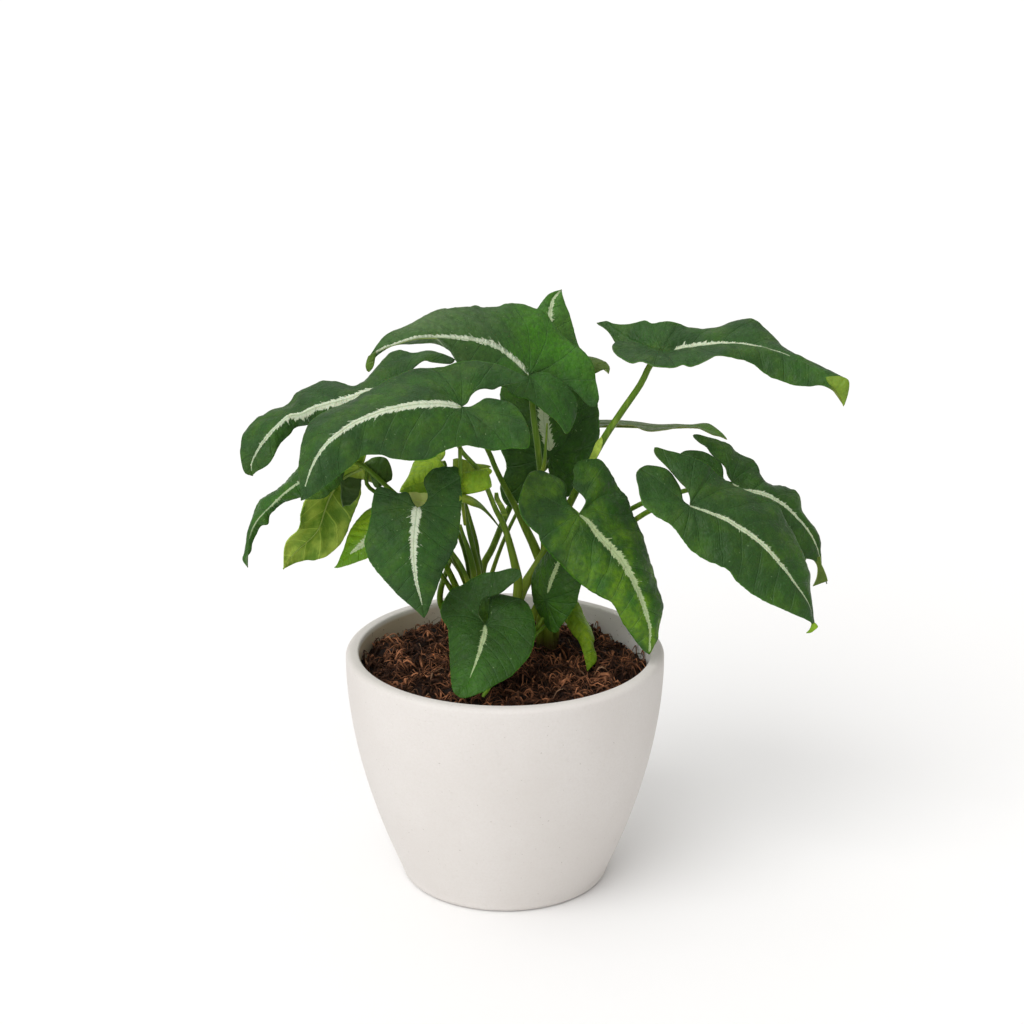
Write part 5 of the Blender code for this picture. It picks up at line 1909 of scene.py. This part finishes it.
def vein_group():
    """Side veins and the fine net between them: a mask of the lines and their relief."""
    inputs = {"Line Width": 0.5, "Net Depth": 0.2}
    group, values, results = new_group("leaf_veins", inputs, ["Lines", "Relief"])
    wobble = noise_value(group, VEIN_WOBBLE_SCALE) - 0.5
    number = mark_value(group, "vein_number") + 0.5 + wobble * VEIN_WOBBLE
    away = from_half(number) * mark_value(group, "vein_gap")
    main_veins = 1.0 - (away / values["Line Width"]).ramp(0.0, 1.0)
    broken = noise_value(group, MINOR_VEIN_BREAK_SCALE).ramp(*MINOR_VEIN_BREAKS)
    minor = (1.0 - from_half(number * MINOR_VEINS).ramp(0.0, MINOR_VEIN_WIDTH)) * broken
    net = 1.0 - cell_edges(group, VEIN_NET_SCALE).ramp(0.0, VEIN_NET_WIDTH)
    lines = number.step("MAXIMUM", main_veins, minor * MINOR_VEIN_SHARE)
    feed(group, lines, results["Lines"])
    feed(group, 1.0 - number.step("MAXIMUM", lines, net * values["Net Depth"]), results["Relief"])
    return group


def stripe_group():
    """Silver stripe along the midrib, feathered along the side veins."""
    group, values, results = new_group("silver_stripe", {"Raggedness": 0.5, "Spikes": 1.0}, ["Mask"])
    distance = mark_value(group, "rib_distance")
    width = mark_value(group, "stripe_width")
    number = mark_value(group, "vein_number")
    by_vein, by_distance = STRIPE_BARBS
    axes = {"X": number * by_vein, "Y": distance * by_distance, "Z": mark_value(group, "sheet")}
    place = place_of(group, axes)
    barbs = noise_at(group, place, 1.0, STRIPE_BARB_DETAIL, STRIPE_BARB_ROUGHNESS)
    ragged = (barbs - 0.5) * values["Raggedness"]
    spike = barbs.ramp(*STRIPE_SPIKES) * values["Spikes"]
    teeth = (noise_at(group, place, STRIPE_TEETH_SCALE, 2.0) - 0.5) * STRIPE_TEETH
    teeth = teeth * width.ramp(*STRIPE_TEETH_WIDTHS)
    edge = width * (STRIPE_BODY + ragged + spike) + teeth
    inside = (edge - distance).ramp(*STRIPE_EDGE)
    feed(group, inside * width.ramp(*STRIPE_LEAST_WIDTHS), results["Mask"])
    return group


def patch_group():
    """Soft patches, from 0 to 1, at a scale in waves a metre."""
    inputs = {"Scale": 60.0, "Low": 0.4, "High": 0.65}
    group, values, results = new_group("soft_patches", inputs, ["Mask"])
    clouds = noise_at(group, own_place(group), values["Scale"], 3.0)
    feed(group, clouds.ramp(values["Low"], values["High"]), results["Mask"])
    return group


def use_group(tree, group, inputs):
    """What a shader group gives for its inputs, by name."""
    node = add_node(tree, "ShaderNodeGroup", inputs, node_tree=group)
    return {socket.name: Value(tree, socket) for socket in node.outputs}


def patch_mask(tree, groups, scale, low, high):
    """Soft patches at a scale in waves a metre, sharper where low and high are close."""
    return use_group(tree, groups["patches"], {"Scale": scale, "Low": low, "High": high})["Mask"]


# Materials

def new_material(name, sockets):
    """Material, its tree and its shader's sockets, some with a plain value."""
    material = bpy.data.materials.new(name)
    material.use_nodes = True
    tree = material.node_tree
    shader = tree.nodes["Principled BSDF"].inputs
    for label, value in sockets.items():
        feed(tree, value, shader[label])
    return material, tree, shader


def add_bump(tree, shader, height, strength, distance):
    """Relief of a height value on the shader, distance in metres."""
    values = {"Height": height, "Strength": strength, "Distance": distance}
    bump = add_node(tree, "ShaderNodeBump", values)
    tree.links.new(bump.outputs["Normal"], shader["Normal"])


def vary_roughness(tree, shader, scale, low, high):
    """Roughness that wanders between two values, scale in waves a metre."""
    feed(tree, noise_value(tree, scale).ramp(0.3, 0.7, low, high), shader["Roughness"])


def leaf_green(tree, groups, lines, deep, fresh):
    """Green of an upper face, with its patches, painted shade, fresh green that is partly painted light,
    painted sheen, grain, veins and a painted highlight along the margin.
    """
    patches = patch_mask(tree, groups, 55.0, 0.36, 0.68)
    spots = patch_mask(tree, groups, 85.0, 0.4, 0.72) * mark_value(tree, "mottle")
    painted_shade_green = (0.85 * deep[0], 0.9 * deep[1], 0.22 * deep[2])
    darker = tuple(0.68 * value for value in deep)
    lighter = tuple(min(1.0, 1.5 * value + 0.01) for value in deep)
    return paint_over(tree, deep, [
        # Painted shade: blades in the shade of others turn warmer and deeper
        (mark_value(tree, "shade"), painted_shade_green),
        # Fresh green, partly painted light where a blade shows brighter
        ((mark_value(tree, "fresh") + (patches * 0.3 - 0.1)).clamped(), fresh),
        ((spots * 0.75).clamped(), LEAF_MOTTLE),
        # Painted sheen of light on the face, where the sheen mark says
        (patches.ramp(0.0, 1.0, 1.0, 0.6) * mark_value(tree, "sheen"), LEAF_PAINTED_SHEEN),
        (patch_mask(tree, groups, 420.0, 0.3, 0.75) * 0.45, darker),
        (noise_value(tree, 850.0, 3.0, 0.7).ramp(0.5, 0.75, 0.0, 0.5), lighter),
        (lines * 0.3, lighter),
        (noise_value(tree, 900.0, 0.0).ramp(0.835, 0.86, 0.0, 0.35), LEAF_DOT),
        # Painted highlight along the margin
        (mark_value(tree, "across").ramp(0.97, 1.0) * 0.85, fresh),
    ])


def leaf_silver(tree):
    """Silver of the stripe, with streaks, dark lines along the side veins and the rib."""
    place = place_of(tree, {"X": mark_value(tree, "vein_number") * 26.0})
    return paint_over(tree, SILVER, [
        (mark_value(tree, "cream"), STRIPE_CREAM),
        (noise_value(tree, 1400.0, 2.0).ramp(0.5, 0.8, 0.0, 0.4), STRIPE_STREAK),
        (noise_at(tree, place, 1.0, 2.0).ramp(0.55, 0.7, 0.0, 0.4), STRIPE_LINE),
        (mark_value(tree, "rib_distance").ramp(0.12, 0.4, 0.5, 0.0), STRIPE_RIB),
    ])


def leaf_upper_material(name, deep, fresh, groups):
    """Satin upper face: deep to fresh green, fine veins and the silver stripe."""
    sockets = {"Specular IOR Level": 0.21, "Subsurface Weight": 0.06, "Subsurface Scale": 0.0008}
    material, tree, shader = new_material(name, sockets)
    veins = use_group(tree, groups["veins"], {"Line Width": 0.55, "Net Depth": 0.35})
    stripe = use_group(tree, groups["stripe"], {"Raggedness": 2.0, "Spikes": 0.8})
    colour = paint_over(tree, leaf_green(tree, groups, veins["Lines"], deep, fresh), [
        (stripe["Mask"], leaf_silver(tree)),
        (mark_value(tree, "paleness"), LEAF_PALE_TIP),
    ])
    feed(tree, colour, shader["Base Color"])
    vary_roughness(tree, shader, 300.0, 0.4, 0.52)
    grain = noise_value(tree, 1500.0, 2.0) * 0.25
    swell = patch_mask(tree, groups, 200.0, 0.3, 0.7) * 1.6
    add_bump(tree, shader, veins["Relief"] + grain + swell, 0.85, 0.00033)
    return material


def leaf_under_material(name, deep, pale, groups):
    """Paler, duller underside with its veins standing out."""
    sockets = {"Specular IOR Level": 0.35, "Subsurface Weight": 0.06, "Subsurface Scale": 0.0008}
    material, tree, shader = new_material(name, sockets)
    veins = use_group(tree, groups["veins"], {"Line Width": 0.6, "Net Depth": 0.3})
    light = tuple(min(1.0, 1.25 * value + 0.015) for value in pale)
    colour = paint_over(tree, deep, [
        (patch_mask(tree, groups, 75.0, 0.38, 0.62), pale),
        (patch_mask(tree, groups, 420.0, 0.3, 0.75) * 0.35, deep),
        (mark_value(tree, "paleness"), UNDER_PALE_AND_LIT_THROUGH),
        (veins["Lines"] * 0.5, light),
    ])
    feed(tree, colour, shader["Base Color"])
    vary_roughness(tree, shader, 300.0, 0.5, 0.62)
    add_bump(tree, shader, 1.0 - veins["Relief"], 0.5, 0.00025)
    return material


def stalk_material(groups):
    """Smooth green stalks, paler towards the foot and brown where they leave the soil, partly dry sheath
    and partly painted shade.
    """
    sockets = {"Specular IOR Level": 0.16, "Subsurface Weight": 0.08, "Subsurface Scale": 0.001}
    material, tree, shader = new_material("fine_stalk_green", sockets)
    rise = mark_value(tree, "rise")
    streaks = noise_value(tree, 500.0, 3.0, 0.6, (1.0, 1.0, 0.12))
    foot_brown_shade = own_axis(tree, "Z") + streaks * FOOT_BROWN_SHADE_UNEVENNESS
    colour = paint_over(tree, STALK_FOOT_GREEN, [
        (rise.ramp(0.08, 0.42), STALK_GREEN),
        (patch_mask(tree, groups, 110.0, 0.35, 0.7) * 0.45, STALK_DULL),
        (streaks.ramp(0.45, 0.75, 0.0, 0.5), STALK_STREAK),
        (rise.ramp(1.2, 1.8, 0.0, 0.7), STALK_RIB),
        # Brown stalk feet: partly dry sheath, partly painted shade near the soil
        (foot_brown_shade.ramp(*FOOT_BROWN_SHADE_HEIGHTS, 0.9, 0.0), STALK_BROWN_AND_SHADE),
    ])
    feed(tree, colour, shader["Base Color"])
    vary_roughness(tree, shader, 400.0, 0.34, 0.46)
    add_bump(tree, shader, streaks, 0.35, 0.0003)
    return material


def pot_material(groups):
    """Matte off-white body with fine pits, specks and faint clouds, stained inside, its shaded inner wall
    whitened as painted light.
    """
    material, tree, shader = new_material("fine_pot_white", {"Specular IOR Level": 0.3})
    inside = mark_value(tree, "inside")
    left = own_axis(tree, "X").ramp(*STAIN_LEFT, 1.0, 0.0)
    low = own_axis(tree, "Z").ramp(*STAIN_HEIGHTS, 1.0, 0.2)
    colour = paint_over(tree, POT_WHITE, [
        (patch_mask(tree, groups, 22.0, 0.3, 0.7), POT_CLOUD),
        (patch_mask(tree, groups, 900.0, 0.35, 0.7) * 0.3, POT_GRAIN),
        (noise_value(tree, 700.0, 1.0).ramp(0.76, 0.79) * 0.4, POT_SPECK),
        # Painted light: the shaded inner wall whitened
        (inside * 0.92, POT_INSIDE_PAINTED_LIGHT),
        (left * low * inside * 0.8, POT_STAIN),
        (noise_value(tree, 520.0).ramp(0.68, 0.7) * inside * 0.7, POT_CRUMB),
    ])
    feed(tree, colour, shader["Base Color"])
    vary_roughness(tree, shader, 60.0, 0.62, 0.78)
    grain = noise_value(tree, 1300.0, 4.0, 0.65) * 0.5
    pits = noise_value(tree, 480.0, 2.0).ramp(0.62, 0.72, 1.0, 0.0) * 0.8
    add_bump(tree, shader, grain + pits, 0.35, 0.0004)
    return material


def soil_material(name, dark, light, scale, groups):
    """Rough brown soil or coir, its colour changing from strand to strand."""
    material, tree, shader = new_material(name, {"Specular IOR Level": 0.2})
    patches = patch_mask(tree, groups, scale, 0.3, 0.7)
    tone = mark_value(tree, "tone")
    share = (patches * 0.08 + tone * tone * patches.ramp(0.0, 1.0, 0.14, 1.4)).clamped()
    feed(tree, mix_colours(tree, share, dark, light), shader["Base Color"])
    vary_roughness(tree, shader, 500.0, 0.5, 0.85)
    add_bump(tree, shader, noise_value(tree, 1200.0, 4.0, 0.7), 0.8, 0.0008)
    return material


# Room, light and camera

def make_floor():
    """Plain pale floor that reaches past the view."""
    bm = bmesh.new()
    bmesh.ops.create_grid(bm, x_segments=1, y_segments=1, size=FLOOR_SIZE)
    sockets = {"Base Color": FLOOR_COLOUR, "Roughness": 0.9, "Specular IOR Level": 0.1}
    material = new_material("floor_pale", sockets)[0]
    add_object("floor", finished_mesh(bm, "floor", [material]))


def add_sun(name, heading, strength, softness):
    """Distant soft light shining along a heading."""
    lamp = bpy.data.lights.new(name, "SUN")
    lamp.energy = strength
    lamp.angle = math.radians(softness)
    add_object(name, lamp).rotation_euler = Vector(heading).to_track_quat("-Z", "Y").to_euler()


def make_light():
    """Soft light from the upper left and a white room."""
    for name, lamp in LAMPS.items():
        add_sun(name, *lamp)
    world = bpy.data.worlds.new("room")
    world.use_nodes = True
    room = world.node_tree.nodes["Background"].inputs
    room["Color"].default_value = ROOM_COLOUR
    room["Strength"].default_value = ROOM_STRENGTH
    bpy.context.scene.world = world
    bpy.context.scene.view_settings.view_transform = "Standard"


def make_camera():
    lens = bpy.data.cameras.new("camera")
    lens.lens = CAMERA_LENS
    lens.sensor_width = CAMERA_SENSOR
    camera = add_object("camera", lens)
    camera.location = Vector(CAMERA_PLACE) * MM
    camera.rotation_euler = (math.radians(90.0 - CAMERA_TILT), 0.0, 0.0)
    bpy.context.scene.camera = camera


# The whole plant

def leaf_kind(name):
    if name in PALE_LEAVES:
        return "pale"
    return "olive" if name in OLIVE_LEAVES else "dark"


def make_plant(groups):
    """Blades, scraps, stalks and sheaths, in their colours."""
    faces = {name: leaf_upper_material(name, *pair, groups) for name, pair in UPPER_FACES.items()}
    for name, pair in UNDERSIDES.items():
        faces[name] = leaf_under_material(name, *pair, groups)
    kinds = {}
    for kind, (upper, under, slot) in LEAF_KINDS.items():
        kinds[kind] = ([faces[upper], faces[under]], slot)
    for index, name in enumerate(LEAVES):
        make_blade(name, index + FIRST_SEED, *kinds[leaf_kind(name)])
    for name, sheet in SHEETS.items():
        make_sheet(name, sheet, *kinds["pale" if sheet["fresh"] > FRESH_SHEET else "dark"])
    green = stalk_material(groups)
    for crown in CROWNS:
        make_plantlet(crown, green)
    for name, points in ROLLS.items():
        make_roll(name, points, green)


def make_earth(groups):
    """Soil with its clods, flakes and strands of coir."""
    browns = {kind: soil_material(*brown, groups) for kind, brown in BROWNS.items()}
    make_soil(browns["soil"])
    make_clods(browns["soil"])
    make_flakes(browns["coir"])
    for name, (*strands, kind) in STRANDS.items():
        make_strands(name, *strands, browns[kind])


def main():
    groups = {"veins": vein_group(), "stripe": stripe_group(), "patches": patch_group()}
    make_camera()
    make_light()
    make_floor()
    make_pot(pot_material(groups))
    make_earth(groups)
    make_plant(groups)


main()
